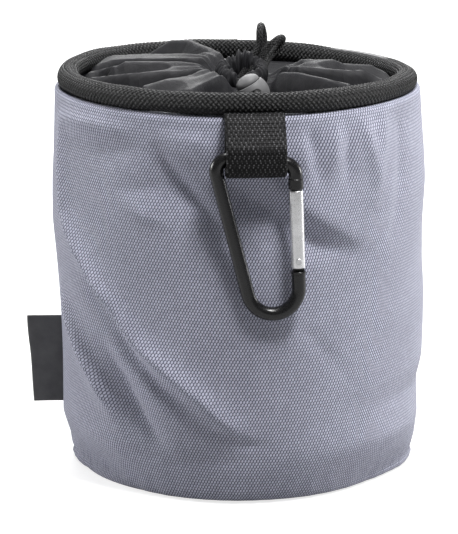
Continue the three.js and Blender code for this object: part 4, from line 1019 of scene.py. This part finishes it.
gate_side = tangent_angle(bottom, right_top)
top_side = tangent_angle(right_top, left_top)
back_side = tangent_angle(left_top, bottom)
right_arc = corner_arc(right_top, gate_side, top_side, 20)
left_arc = corner_arc(left_top, top_side, back_side, 24)
bottom_arc = corner_arc(bottom, back_side, gate_side, 36)
gate_length, pivot_inset, gate_top_drop = 34, 4.1, 12.3
pivot_height = -gate_top_drop - gate_length + pivot_inset
gate_up = unit(right_arc[0] - bottom_arc[-1])
pivot = bottom_arc[-1] + gate_up * (pivot_height - bottom_arc[-1, 1]) / gate_up[1]
gate_top = gate_length - pivot_inset
nose_end, foot_end = gate_top + 0.3, -pivot_inset - 0.3
hook_rings, hook_sides = 260, 40
hook_line = evenly(np.concatenate([
    [pivot + gate_up * nose_end], right_arc, left_arc, bottom_arc, [pivot + gate_up * foot_end],
]), hook_rings)
hook_path = np.insert(hook_line, 1, 0, axis=1)
hook_tangent = unit(np.gradient(hook_path, axis=0))
hook_out = np.column_stack([hook_tangent[:, 2], np.zeros(hook_rings), -hook_tangent[:, 0]])
hook_radii = np.full((hook_rings, 1), rod_radius)
hook_radii[[0, -1]] -= 0.35
hook_uv = plain_uv(hook_rings, hook_sides + 1, 170, 18)
hook_rod = tube_part(hook_path, hook_radii, hook_sides, hook_tangent, hook_out, hook_uv)


def in_hook(part):
    """A part drawn round the hook's bar, carried into the bag's frame."""
    return placed(part, bar_place, front_axes)


def in_gate(part):
    """A part drawn round the gate's pivot, with z along the gate, carried into the bag's frame."""
    return in_hook(placed(part, (pivot[0], 0, pivot[1]), leaning(-math.atan2(*gate_up))))


def pin_part(radius, low, high, chamfer, sides):
    """A turned pin or collar with both edges eased."""
    return turned_part([
        (axis_radius, low), (radius - chamfer, low), (radius, low + chamfer), (radius, high - chamfer),
        (radius - chamfer, high), (axis_radius, high),
    ], sides)


band_radius = rod_radius + 0.25
tongue_half, tongue_radius = 1, 2.3
nose_tongue = bar_part([
    (-2.1, nose_end + 1), (-2.1, nose_end - 3.6), (-1.3, nose_end - 3.6), (-1.3, nose_end - 1.9),
    (0.9, nose_end - 1.9), (0.9, nose_end - 5.2), (1.6, nose_end - 5.4), (2.3, nose_end - 4.8),
    (2.3, nose_end + 1),
][::-1], tongue_half)
foot_tongue = bar_part([
    (-tongue_radius, foot_end - 1), (tongue_radius, foot_end - 1),
    *arc((0, 0), tongue_radius, 0, math.pi, 13),
][::-1], tongue_half)
black_rod = worn(
    "black_rod", {"Specular IOR Level": 0.4}, (0.003, 0.003, 0.0035), (0.009, 0.009, 0.01),
    (160.0, 0.35), 0.012, rough=(0.2, 0.32),
)
snap_hook = new_piece("snap_hook_rod", [
    in_hook(hook_rod), in_gate(pin_part(band_radius, nose_end, nose_end + 4.4, 0.25, 40)),
    in_gate(pin_part(band_radius, foot_end - 1.3, foot_end, 0.25, 40)),
    in_gate(nose_tongue), in_gate(foot_tongue),
], black_rod, smooth_below)
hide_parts("carabiner_body")
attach(snap_hook, "snap_hook")


# Gate: a bare turned aluminium rod, slotted at both ends. It turns on a steel rivet through the
# foot's tongue, and the steel pin in its upper slot hooks into the nose.
gate_radius, gate_edge, slot_half = 3, 0.8, 1.3
gate_metal = worn(
    "gate_metal", {"Metallic": 1.0}, (0.68, 0.68, 0.69), (0.52, 0.52, 0.53), (240.0, 0.5), 0.012,
    rough=(0.22, 0.4), spread=(0.25, 0.75), lathe=0.5,
)
dome_arc = arc((0, 0), pivot_inset, -quarter_turn, -math.acos(gate_radius / pivot_inset), 8)
dome_arc[0, 0] = axis_radius
gate_profile = np.concatenate([
    dome_arc, [(gate_radius, -1.2), (gate_radius, 6), (gate_radius, 14), (gate_radius, 22)],
    arc((gate_radius - gate_edge, gate_top - gate_edge), gate_edge, 0, quarter_turn, 6),
    [(axis_radius, gate_top)],
])
gate_slots = [
    bar_part([(-5, low), (-5, high), (5, high), (5, low)], slot_half)
    for low, high in ((gate_top - 6.2, gate_top + 2), (-pivot_inset - 2, 4.5))
]
gate = new_piece("gate_rod", [in_gate(turned_part(gate_profile, 56))], gate_metal, smooth_below)
cut(gate, *(in_gate(slot) for slot in gate_slots))
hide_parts("carabiner_gate")
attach(gate, "gate")

rivet_metal = worn(
    "rivet_metal", {"Metallic": 1.0, "Roughness": 0.35}, (0.55, 0.55, 0.56), (0.3, 0.3, 0.31),
    (400.0, 0.6), 0.02,
)
along_y = ((1, 0, 0), (0, 0, -1), (0, 1, 0))
rivet = new_piece("gate_rivet", [
    in_gate(placed(pin_part(radius, low, high, 0.15, 28), (0, 0, 0), along_y))
    for radius, low, high in ((0.9, -3.1, 3.1), (1.3, -3.5, -3.05), (1.3, 3.05, 3.5))
], rivet_metal, smooth_below)
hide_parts("gate_pivot_rivet")
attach(rivet, "gate")
finish_nodes(rivet_metal, "cord_lock_spring", "gate_latch_pin", "gate_plunger", "gate_spring")


# Side label: a dark grey woven tape without print, folded in half and caught in the left seam. Its
# two leaves wave a little.
label_look = {"Roughness": 0.8, "Specular IOR Level": 0.2, "Sheen Weight": 0.2}
label_tape = woven("label_tape", label_look, (0.09, 0.09, 0.094), (0.16, 0.16, 0.165), 0.5, 0.08, 0.1)
label_middle, label_half, label_reach = 44, 19.5, 14.6


def label_leaf(face, rows=60, columns=28):
    """One leaf of the folded tape: a sheet out of the seam, along -x, that waves a little in y. The
    two leaves part by half a millimetre and meet in the fold."""
    up = np.linspace(label_middle - label_half, label_middle + label_half, rows)[:, None]
    out = np.linspace(0, 1, columns)[None, :]
    seam = np.interp(up, side_heights, left_change) + wall_radius - 0.6
    narrowing = 1 - 0.035 * ((up - label_middle) / label_half) ** 2
    reach = label_reach * narrowing + 1.3 * smooth(up, 40, 63)
    wave = 0.5 * np.sin(out * 2.4 + up / 14) * out
    gap = 0.42 * np.sqrt(np.clip(1 - out**6, 0, 1))
    droop = 0.15 * out**2
    points = np.stack([-(seam + out * reach), wave + face * gap, up - droop + 0 * out], axis=-1)
    uv = np.stack([out * label_reach + 0 * up, up + 0 * out], axis=-1)
    if face > 0:
        points, uv = points[:, ::-1], uv[:, ::-1]
    return grid_part(points[:, ::-1], uv[:, ::-1])


side_label = new_piece("side_label_tape", [label_leaf(-1), label_leaf(1)], label_tape)
thickened(side_label, 0.35, 0)
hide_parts("side_label")
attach(side_label, "bag")
